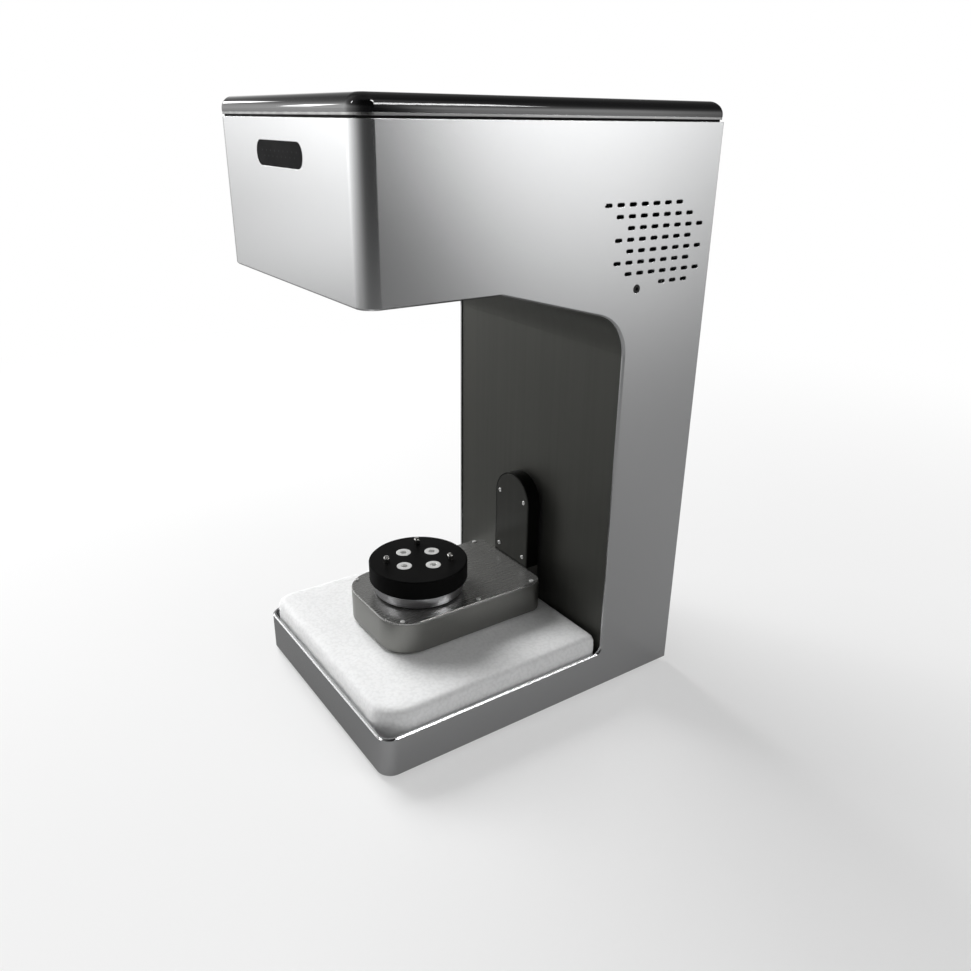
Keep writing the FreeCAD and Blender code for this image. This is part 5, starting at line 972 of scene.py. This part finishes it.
DARK_SCREW = Moulded("dark_screw", (0.03, 0.03, 0.03), 0.32, metallic=0.8, wear=0.7,
                     wear_width=0.3 * MM)
PIN_STEEL = TurnedMetal("pin_steel", (0.62, 0.61, 0.59), 0.2, metallic=1.0, anisotropic=0.0)
DARK_RING = Moulded("dark_ring", (0.012, 0.012, 0.013), 0.4, wear=0.2, specular=0.3)
FOAM_WHITE = FoamFinish("foam_white", (0.93, 0.935, 0.935), 0.9)
BASE_PAINT = MetallicPaint("base_paint", (0.05, 0.05, 0.05), 0.55, flake=0.2, peel=0.05 * MM,
                           grain_scale=1300.0, wear=0.5)
REAR_PAINT = MetallicPaint("rear_paint", (0.06, 0.06, 0.06), 0.52, flake=0.2, peel=0.05 * MM,
                           grain_scale=1300.0, wear=0.4)
ZINC = BrushedMetal("zinc_plate", (0.56, 0.57, 0.55), 0.36, metallic=1.0, grain=Grain.ALONG_Y,
                    contrast=0.08)
FOOT_RUBBER = Moulded("foot_rubber", (0.02, 0.02, 0.02), 0.8, texture=0.05 * MM, wear=0.2,
                      dust=0.2)
LENS_BLACK = TurnedMetal("lens_black", (0.02, 0.02, 0.022), 0.3, metallic=0.6, wear=0.4)
CAMERA_CASE = MetallicPaint("camera_case", (0.07, 0.072, 0.08), 0.42, metallic=0.8, wear=0.5)
DARK_GLASS = CoatedGlass("dark_glass", (0.30, 0.33, 0.36), 0.03)
BLACK_PAINT = MetallicPaint("black_paint", (0.03, 0.03, 0.03), 0.45, flake=0.2,
                            peel=0.04 * MM, wear=0.5)
CIRCUIT = CircuitFinish("circuit_green", (0.02, 0.13, 0.05), 0.35, wear=0.2)
BLACK_PLASTIC = Moulded("black_plastic", (0.022, 0.022, 0.022), 0.45, texture=0.03 * MM,
                        wear=0.2)
SWITCH_BLACK = Moulded("switch_black", (0.016, 0.016, 0.016), 0.22, texture=0.006 * MM,
                       wear=0.25)
NICKEL = BrushedMetal("nickel_plate", (0.66, 0.64, 0.60), 0.25, metallic=1.0,
                      grain=Grain.ALONG_X, contrast=0.05)
BRASS = BrushedMetal("plated_brass", (0.80, 0.70, 0.42), 0.28, metallic=1.0,
                     grain=Grain.ALONG_Y, contrast=0.05)
BEARING_STEEL = TurnedMetal("bearing_steel", (0.62, 0.62, 0.63), 0.22, metallic=1.0)
GEAR_STEEL = BrushedMetal("gear_steel", (0.42, 0.42, 0.43), 0.34, metallic=1.0,
                          grain=Grain.ALONG_Y)
ALLOY = TurnedMetal("turned_alloy", (0.68, 0.68, 0.69), 0.28, metallic=1.0)
MOTOR_PAINT = MetallicPaint("motor_paint", (0.04, 0.04, 0.042), 0.4, metallic=0.3, wear=0.5)
BELT = Moulded("belt_rubber", (0.018, 0.018, 0.018), 0.65, texture=0.04 * MM, wear=0.1)


# ------------------------------------------------------------------ sub-assemblies
@dataclass
class SubAssembly:
    """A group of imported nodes, each with its finish."""

    paintbox: Paintbox
    frame: dict

    def finishes(self) -> dict[str, Finish]:
        """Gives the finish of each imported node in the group."""
        raise NotImplementedError

    def build(self) -> list[bpy.types.Object]:
        """Gives the group's own meshes: none, unless a group makes some."""
        return []

    def dress(self) -> None:
        """Gives every node of the group its material, and reports each piece."""
        for name, finish in self.finishes().items():
            wear(self.frame["nodes"][name], self.paintbox.material(finish))
            LOG.info("%s wears %s", name, finish.name)
        for piece in self.build():
            LOG.info("%s is modelled", piece.name)


def wear(piece: bpy.types.Object, material: bpy.types.Material) -> None:
    """Puts one material on a piece.

    Args:
        piece: Object to dress.
        material: Its only material.
    """
    if not piece.material_slots:
        piece.data.materials.append(material)
    for slot in piece.material_slots:
        slot.material = material


@dataclass
class Casing(SubAssembly):
    """Shell, liner, floor, feet and rear panel."""

    def finishes(self) -> dict[str, Finish]:
        """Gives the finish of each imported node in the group.

        Returns:
            Finishes by node name.
        """
        return {
            "main_shell": SATIN_SILVER, "throat_liner": PANEL_GREY, "rear_panel": REAR_PAINT,
            "rear_panel_screws": DARK_SCREW, "base_plate": BASE_PAINT,
            "rubber_feet": FOOT_RUBBER, "side_screws": DARK_SCREW, "indicator_window": SMOKED,
            "indicator_board": CIRCUIT,
        }


@dataclass
class Lid(SubAssembly):
    """Gloss cap, light trim strip and seal."""

    def finishes(self) -> dict[str, Finish]:
        """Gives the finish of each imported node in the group.

        Returns:
            Finishes by node name.
        """
        return {
            "top_cover": GLOSS_BLACK, "lid_trim": LIGHT_TRIM, "lid_seal": SEAL_BLACK,
            "lid_screws": DARK_SCREW,
        }


@dataclass
class FoamPad(SubAssembly):
    """Thick foam pad that lies in the tray and stands above its rim."""

    voxel: float = 2.0 * MM
    edge_radius: float = 6.5 * MM
    edge_steps: int = 7
    corner_radii: tuple[float, float, float, float] = (6.5 * MM, 6.5 * MM, 12.0 * MM, 25.0 * MM)
    least_radius: float = 2.0 * MM
    floor_gap: float = 0.2 * MM
    rounding_passes: int = 4
    crown: float = 0.7 * MM
    waist: float = 0.4 * MM
    layer_top: float = 46.5 * MM
    layer_pitch: float = 4.2 * MM
    layers: int = 4
    layer_depth: float = 0.55 * MM
    groove_width: float = 0.9 * MM
    fuzz: float = 0.35 * MM
    lumps: tuple[Span, ...] = ((55.0, 0.6), (190.0, 0.4))
    kept_share: float = 0.6

    def finishes(self) -> dict[str, Finish]:
        """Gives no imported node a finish: the pad stands for its node."""
        return {}

    def build(self) -> list[bpy.types.Object]:
        """Returns:
            The pad alone.
        """
        low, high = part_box("tray_pad")
        mesh = bpy.data.meshes.new("foam_pad")
        self.block(low, high).to_mesh(mesh)
        pad = bpy.data.objects.new("foam_pad", mesh)
        bpy.context.scene.collection.objects.link(pad)
        self.remesh(pad)
        self.soften(pad, low, high)
        wear(pad, self.paintbox.material(FOAM_WHITE))
        smooth(pad)
        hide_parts("tray_pad")
        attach(pad, "casing")
        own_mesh(pad)
        return [pad]

    def block(self, low: Vector, high: Vector) -> bmesh.types.BMesh:
        """Makes a block with rounded corners and a rounded top edge, as stacked rings.

        Args:
            low: Lowest corner.
            high: Highest corner.

        Returns:
            The closed block.
        """
        inset = 2 * self.fuzz
        half = Vector((high.x - low.x, high.y - low.y)) / 2 - Vector((inset, inset))
        middle = Vector((low.x + high.x, low.y + high.y)) / 2
        rings = [(0.0, low.z + self.floor_gap)]
        for step in range(self.edge_steps + 1):
            angle = math.pi / 2 * step / self.edge_steps
            drawn_in = self.edge_radius * (1 - math.cos(angle))
            height = high.z - self.crown - self.fuzz - self.edge_radius * (1 - math.sin(angle))
            rings.append((drawn_in, height))
        block = bmesh.new()
        loops = []
        for drawn_in, height in rings:
            radii = [max(radius - drawn_in, self.least_radius) for radius in self.corner_radii]
            outline = rounded_outline(half.x - drawn_in, half.y - drawn_in, radii)
            loops.append([block.verts.new((middle.x + x, middle.y + y, height))
                          for x, y in outline])
        for lower, upper in zip(loops, loops[1:]):
            bridge(block, lower, upper)
        block.faces.new(list(reversed(loops[0])))
        block.faces.new(loops[-1])
        return block

    def remesh(self, pad: bpy.types.Object) -> None:
        """Turns the block into even quads.

        Args:
            pad: The block; its mesh is replaced.
        """
        modifier = pad.modifiers.new("even_quads", "REMESH")
        modifier.mode = "VOXEL"
        modifier.voxel_size = self.voxel
        rounding = pad.modifiers.new("rounding", "SMOOTH")
        rounding.iterations = self.rounding_passes
        bake(pad)

    def soften(self, pad: bpy.types.Object, low: Vector, high: Vector) -> None:
        """Crowns the top, draws the sides in, cuts the layers and roughens the skin.

        Args:
            pad: The pad; its vertices are moved.
            low: Lowest corner it may reach.
            high: Highest corner it may reach.
        """
        middle = (low + high) / 2
        half = (high - low) / 2
        mesh = pad.data
        normals = [vertex.normal.copy() for vertex in mesh.vertices]
        for vertex, normal in zip(mesh.vertices, normals):
            place = vertex.co.copy()
            across = (place.x - middle.x) / half.x
            along = (place.y - middle.y) / half.y
            upward = max(normal.z, 0.0)
            sideways = 1 - abs(normal.z)
            place.z += self.crown * upward * (1 - across ** 2) * (1 - along ** 2)
            pulled = self.waist * sideways * (1 - min(abs(across), abs(along)) ** 2)
            drawn_in = pulled + self.groove(place.z) * sideways
            place -= Vector((normal.x, normal.y, 0)) * drawn_in
            height = sum(noise.noise(place * scale) * share for scale, share in self.lumps)
            place += normal * height * self.fuzz
            vertex.co = [min(max(value, least), most)
                         for value, least, most in zip(place, low, high)]

    def groove(self, height: float) -> float:
        """Gives how far the side is drawn in between two foam sheets.

        Args:
            height: Height on the side.

        Returns:
            Depth of the groove there.
        """
        steps = (self.layer_top - height) / self.layer_pitch
        if steps < -0.5 or steps > self.layers - 0.5:
            return 0.0
        off = abs(steps - round(steps)) * self.layer_pitch
        return self.layer_depth * math.exp(-((off / self.groove_width) ** 2))


def rounded_outline(half_x: float, half_y: float, radii: Sequence[float]) -> list[Span]:
    """Outline of a rounded rectangle about the origin.

    Args:
        half_x: Half its width.
        half_y: Half its depth.
        radii: The four corner radii, anticlockwise from the back right corner.

    Returns:
        Points anticlockwise, the same number at any size.
    """
    points = []
    for quarter, (side_x, side_y) in enumerate(((1, 1), (-1, 1), (-1, -1), (1, -1))):
        radius = radii[quarter]
        for step in range(ARC_STEPS + 1):
            angle = math.pi / 2 * (quarter + step / ARC_STEPS)
            points.append((side_x * (half_x - radius) + radius * math.cos(angle),
                           side_y * (half_y - radius) + radius * math.sin(angle)))
    return points


def bridge(block: bmesh.types.BMesh, lower: list[bmesh.types.BMVert],
           upper: list[bmesh.types.BMVert]) -> None:
    """Joins two rings of the same length with quads.

    Args:
        block: Mesh that holds them.
        lower: First ring.
        upper: Second ring, above it.
    """
    count = len(lower)
    for index in range(count):
        following = (index + 1) % count
        block.faces.new((lower[index], lower[following], upper[following], upper[index]))


def bake(piece: bpy.types.Object) -> None:
    """Replaces a piece's mesh by what its modifiers make of it.

    Args:
        piece: Object with modifiers; they are removed.
    """
    bpy.context.view_layer.update()
    seen = piece.evaluated_get(bpy.context.evaluated_depsgraph_get())
    mesh = bpy.data.meshes.new_from_object(seen)
    piece.modifiers.clear()
    piece.data = mesh


def smooth(piece: bpy.types.Object) -> None:
    """Shades a piece smooth all over."""
    piece.data.polygons.foreach_set("use_smooth", [True] * len(piece.data.polygons))


@dataclass
class Head(SubAssembly):
    """Frame of the head with the cameras, the projector and the window."""

    def finishes(self) -> dict[str, Finish]:
        """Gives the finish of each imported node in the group.

        Returns:
            Finishes by node name.
        """
        return {
            "spine_frame": ZINC, "head_bracket_right": ZINC, "head_bracket_left": ZINC,
            "frame_screws": DARK_SCREW, "optical_bench": CAMERA_CASE,
            "camera_mounts": CAMERA_CASE, "camera_right": CAMERA_CASE,
            "camera_left": CAMERA_CASE, "camera_lens_right": LENS_BLACK,
            "camera_lens_left": LENS_BLACK, "projector_body": BLACK_PAINT,
            "projector_lens": LENS_BLACK, "optical_window": DARK_GLASS,
            "window_retainer": BLACK_PAINT,
        }


@dataclass
class Electronics(SubAssembly):
    """Boards, power supply, rear fittings and the fan."""

    def finishes(self) -> dict[str, Finish]:
        """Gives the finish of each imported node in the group.

        Returns:
            Finishes by node name.
        """
        return {
            "control_board": CIRCUIT, "power_supply": ZINC, "power_inlet": BLACK_PLASTIC,
            "inlet_blades": BRASS, "power_rocker": SWITCH_BLACK, "data_socket": NICKEL,
            "fan_frame": BLACK_PLASTIC, "fan_rotor": BLACK_PLASTIC,
        }


@dataclass
class SwingDrive(SubAssembly):
    """Bearings, shaft, gears and motor behind the liner."""

    def finishes(self) -> dict[str, Finish]:
        """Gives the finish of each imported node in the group.

        Returns:
            Finishes by node name.
        """
        return {
            "bearing_housing": ALLOY, "swing_bearings": BEARING_STEEL,
            "swing_shaft": BEARING_STEEL, "swing_gear": GEAR_STEEL,
            "swing_pinion": GEAR_STEEL, "motor_bracket": BLACK_PAINT,
            "swing_motor": MOTOR_PAINT,
        }


@dataclass
class SwingArm(SubAssembly):
    """Riser and platform with their covers, screws and the turntable's drive."""

    def finishes(self) -> dict[str, Finish]:
        """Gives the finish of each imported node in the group.

        Returns:
            Finishes by node name.
        """
        return {
            "arm_body": ARM_GREY_PAINTED_SHADE, "arm_hub_screws": DARK_SCREW, "riser_cover": RISER_GREY,
            "riser_cover_screws": BRIGHT_SCREW, "platform_cover": COVER_GREY,
            "platform_cover_screws": BRIGHT_SCREW, "turntable_motor": MOTOR_PAINT,
            "drive_belt": BELT, "motor_pulley": ALLOY,
        }


@dataclass
class Turntable(SubAssembly):
    """Disc, collar, pins and spindle."""

    def finishes(self) -> dict[str, Finish]:
        """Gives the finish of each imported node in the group.

        Returns:
            Finishes by node name.
        """
        low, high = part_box("turntable_collar")
        collar = TurnedMetal("bright_collar", (0.58, 0.58, 0.60), 0.30, metallic=1.0,
                             centre=tuple((low + high) / 2))
        return {
            "bearing_carrier": DARK_RING, "turntable_bearings": BEARING_STEEL,
            "turntable_spindle": BEARING_STEEL, "turntable_collar": collar,
            "turntable_disc": DISC_BLACK, "disc_screws": BRIGHT_SCREW,
            "locating_pins": PIN_STEEL, "turntable_pulley": ALLOY,
        }


# ------------------------------------------------------------------ studio
@dataclass(frozen=True)
class SoftBox:
    """An oblong area lamp that looks at a point and doesn't show in shine."""

    name: str
    place: Point
    target: Point
    width: float
    height: float
    watts: float

    def hang(self) -> None:
        """Makes the lamp."""
        lamp = bpy.data.lights.new(self.name, "AREA")
        lamp.shape = "RECTANGLE"
        lamp.size = self.width
        lamp.size_y = self.height
        lamp.energy = self.watts
        holder = bpy.data.objects.new(self.name, lamp)
        bpy.context.scene.collection.objects.link(holder)
        holder.location = self.place
        holder.visible_glossy = False
        aim = Vector(self.target) - Vector(self.place)
        holder.rotation_euler = aim.to_track_quat("-Z", "Y").to_euler()


@dataclass(frozen=True)
class Glow:
    """A bright patch of the room that only shine shows, or a row of lamps if it has a pitch."""

    azimuth: float
    elevation: float
    half_width: float
    half_height: float
    strength: float
    pitch: float = 0.0
    softness: float = 0.2
    lamp_edge: Span = (0.0, 0.6)

    def light(self, graph: Graph, azimuth: Socket, elevation: Socket) -> Socket:
        """Makes the patch.

        Args:
            graph: Graph of the world.
            azimuth: Direction round the object, in degrees.
            elevation: Direction over the horizon, in degrees.

        Returns:
            The patch's strength.
        """
        shown = self.strength
        for value, middle, half in ((azimuth, self.azimuth, self.half_width),
                                    (elevation, self.elevation, self.half_height)):
            off = graph.math("ABSOLUTE", graph.math("SUBTRACT", value, middle))
            inside = graph.remap(off, half * (1 + self.softness), half * (1 - self.softness))
            shown = graph.math("MULTIPLY", inside, shown)
        if self.pitch:
            wave = graph.math("COSINE", graph.math("MULTIPLY", azimuth, math.tau / self.pitch))
            shown = graph.math("MULTIPLY", shown, graph.remap(wave, *self.lamp_edge))
        return shown


@dataclass
class Studio:
    """Camera, lamps, pale world and floor.

    Directions are in degrees: azimuth from +X towards +Y, elevation over the horizon. Each fade
    gives two distances from the object and the share that is seen at either. As shine shows it,
    the floor's tone near the object goes through floor_near over the X span near_step, and passes
    into the walls' tone over the distances floor_span.
    """

    camera_place: Point = (0.5274, -0.3466, 0.4318)
    camera_yaw: float = 55.305
    camera_pitch: float = 23.34
    camera_roll: float = 0.686
    camera_lens: float = 31.58
    camera_start: float = 0.02
    sensor: float = 36.0
    soft_boxes: tuple[SoftBox, ...] = (
        SoftBox("key_softbox", (-2.1, -0.25, 2.0), (0.0, 0.0, 0.2), 1.5, 1.5, 84.0),
        SoftBox("low_softbox", (-2.1, -1.3, 0.75), (0.0, 0.0, 0.2), 1.1, 0.9, 26.0),
        SoftBox("right_softbox", (1.9, 1.1, 1.1), (0.0, 0.0, 0.3), 1.5, 1.5, 12.0),
    )
    ambient: float = 0.22
    floor_radius: float = 6.0
    floor_corners: int = 96
    floor_colour: Colour = (0.80, 0.80, 0.80)
    floor_glow: float = 0.85
    floor_near: Span = (0.12, 0.22)
    near_step: Span = (0.04, 0.16)
    floor_span: Span = (0.3, 3.5)
    eye_fade: Fade = (0.25, 1.3, 0.45, 1.0)
    shine_fade: Fade = (0.25, 1.5, 0.85, 0.95)
    horizon: tuple[Span, ...] = (
        (-180.0, 0.46), (-168.0, 0.58), (-160.0, 0.88), (-152.0, 1.36), (-143.0, 1.46),
        (-130.0, 1.24), (-115.0, 0.98), (-98.0, 0.72), (-78.0, 0.45), (-58.0, 0.20),
        (-40.0, 0.07), (-20.0, 0.04), (5.0, 0.03), (20.0, 0.02), (27.0, 0.02), (30.0, 0.45),
        (33.0, 1.18), (39.0, 1.44), (46.0, 1.04), (54.0, 0.46), (70.0, 0.30), (110.0, 0.45),
        (145.0, 0.75), (180.0, 0.46),
    )
    heights: tuple[Span, ...] = (
        (-90.0, 0.5), (-10.0, 0.84), (0.0, 1.25), (7.0, 1.65), (14.0, 1.2), (24.0, 0.45),
        (34.0, 0.30), (46.0, 0.30), (60.0, 0.2), (90.0, 0.1),
    )
    overhead: Span = (50.0, 75.0)
    glows: tuple[Glow, ...] = (
        Glow(35.0, 30.0, 8.0, 4.5, 26.0, pitch=1.2), Glow(29.0, 46.0, 3.0, 7.0, 14.0),
        Glow(-104.0, 34.0, 3.0, 6.0, 12.0), Glow(-170.0, 13.0, 2.4, 5.0, 9.0),
        Glow(-158.0, 9.0, 1.0, 2.5, 9.0),
    )

    def build(self) -> None:
        """Sets up the whole studio."""
        self.add_camera()
        for box in self.soft_boxes:
            box.hang()
            LOG.info("%s is lit", box.name)
        self.add_world()
        self.add_floor()
        bpy.context.scene.view_settings.view_transform = "Standard"

    def add_camera(self) -> None:
        """Adds the camera and makes it the scene's own."""
        yaw, pitch, roll = (math.radians(value) for value in
                            (self.camera_yaw, self.camera_pitch, self.camera_roll))
        forward = Vector((-math.sin(yaw) * math.cos(pitch), math.cos(yaw) * math.cos(pitch),
                          -math.sin(pitch)))
        level = Vector((math.cos(yaw), math.sin(yaw), 0.0))
        upward = level.cross(forward)
        right = level * math.cos(roll) + upward * math.sin(roll)
        top = upward * math.cos(roll) - level * math.sin(roll)
        data = bpy.data.cameras.new("camera")
        data.lens = self.camera_lens
        data.sensor_width = self.sensor
        data.clip_start = self.camera_start
        camera = bpy.data.objects.new("camera", data)
        bpy.context.scene.collection.objects.link(camera)
        turned = Matrix((right, top, -forward)).transposed().to_4x4()
        camera.matrix_world = Matrix.Translation(self.camera_place) @ turned
        bpy.context.scene.camera = camera

    def add_world(self) -> None:
        """Makes a world that is white to the eye, a room to shine, and a dim plain light."""
        world = bpy.data.worlds.new("pale_world")
        bpy.context.scene.world = world
        world.use_nodes = True
        graph = Graph(world.node_tree)
        rays = graph.add("LightPath").outputs
        seen = graph.math("MAXIMUM", rays["Is Camera Ray"], rays["Is Transmission Ray"])
        reflected = graph.math("MULTIPLY", rays["Is Glossy Ray"], self.room_glow(graph))
        glow = graph.math("MAXIMUM", seen, reflected)
        direct = graph.math("MAXIMUM", seen, rays["Is Glossy Ray"])
        unseen = graph.math("SUBTRACT", 1.0, direct)
        strength = graph.math("ADD", glow, graph.math("MULTIPLY", unseen, self.ambient))
        background = graph.add("Background")
        background.inputs["Color"].default_value = opaque(WHITE)
        graph.join(strength, background.inputs["Strength"])
        output = graph.add("OutputWorld")
        graph.join(background.outputs[0], output.inputs["Surface"])

    def room_glow(self, graph: Graph) -> Socket:
        """Makes the room that shine shows: walls by direction, lamps, and one tone overhead.

        Args:
            graph: Graph of the world.

        Returns:
            The strength's socket.
        """
        direction = graph.add("TexCoord").outputs["Generated"]
        parts = graph.split(direction)
        rise = graph.math("ARCSINE", parts["Z"])
        upward = graph.ramp(graph.math("ADD", graph.math("DIVIDE", rise, math.pi), 0.5),
                            [(height / HALF_TURN + 0.5, value) for height, value in self.heights])
        tone = self.wall_tone(graph, direction)
        overhead = graph.remap(rise, *(math.radians(value) for value in self.overhead))
        lacking = graph.math("SUBTRACT", 1.0, tone)
        tone = graph.math("ADD", tone, graph.math("MULTIPLY", lacking, overhead))
        shown = graph.math("MULTIPLY", tone, upward)
        turn = graph.math("ARCTAN2", parts["Y"], parts["X"])
        azimuth = graph.math("MULTIPLY", turn, math.degrees(1))
        elevation = graph.math("MULTIPLY", rise, math.degrees(1))
        for glow in self.glows:
            shown = graph.math("ADD", shown, glow.light(graph, azimuth, elevation))
        return shown

    def wall_tone(self, graph: Graph, direction: Socket) -> Socket:
        """Looks up how bright the room is all round.

        Args:
            graph: Graph to add to.
            direction: Direction from the object, of any length.

        Returns:
            The tone's socket.
        """
        parts = graph.split(direction)
        turn = graph.math("ARCTAN2", parts["Y"], parts["X"])
        return graph.ramp(graph.math("ADD", graph.math("DIVIDE", turn, math.tau), 0.5),
                          [(azimuth / FULL_TURN + 0.5, value) for azimuth, value in self.horizon])

    def add_floor(self) -> None:
        """Adds a round pale floor that takes the shadow and fades into the background."""
        shape = bmesh.new()
        bmesh.ops.create_circle(shape, cap_ends=True, segments=self.floor_corners,
                                radius=self.floor_radius)
        mesh = bpy.data.meshes.new("floor")
        shape.to_mesh(mesh)
        floor = bpy.data.objects.new("floor", mesh)
        bpy.context.scene.collection.objects.link(floor)
        floor.data.materials.append(self.floor_material())

    def floor_material(self) -> bpy.types.Material:
        """Makes the floor's material.

        Returns:
            A pale matt surface near the middle, white further out, and grey as shine shows it.
        """
        material = bpy.data.materials.new("pale_floor")
        material.use_nodes = True
        graph = Graph(material.node_tree)
        matt = graph.add("BsdfDiffuse")
        matt.inputs["Color"].default_value = opaque(self.floor_colour)
        rays = graph.add("LightPath").outputs
        place = graph.place()
        length = graph.add("VectorMath", operation="LENGTH")
        graph.join(place, length.inputs[0])
        distance = length.outputs["Value"]
        near = graph.remap(graph.split(place)["X"], *self.near_step, *self.floor_near)
        away = graph.remap(distance, *self.floor_span)
        far = graph.math("MULTIPLY", self.wall_tone(graph, place), self.floor_glow)
        step = graph.math("SUBTRACT", far, near)
        seen = graph.math("ADD", near, graph.math("MULTIPLY", step, away))
        white = graph.add("Emission")
        graph.join(graph.math("MAXIMUM", rays["Is Camera Ray"], seen), white.inputs["Strength"])
        eye = graph.math("MULTIPLY", rays["Is Camera Ray"],
                         graph.remap(distance, *self.eye_fade))
        mirror = graph.math("MULTIPLY", rays["Is Glossy Ray"],
                            graph.remap(distance, *self.shine_fade))
        mixer = graph.add("MixShader")
        graph.join(graph.math("MAXIMUM", eye, mirror), mixer.inputs[0])
        graph.join(matt.outputs[0], mixer.inputs[1])
        graph.join(white.outputs[0], mixer.inputs[2])
        output = graph.add("OutputMaterial")
        graph.join(mixer.outputs[0], output.inputs["Surface"])
        return material


def main() -> None:
    """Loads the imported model, dresses it and sets up the studio."""
    logging.basicConfig(level=logging.INFO, format="%(name)s: %(message)s")
    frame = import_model()
    paintbox = Paintbox()
    for kind in (Casing, Lid, FoamPad, Head, Electronics, SwingDrive, SwingArm, Turntable):
        kind(paintbox, frame).dress()
    Studio().build()


if __name__ == "__main__":
    main()
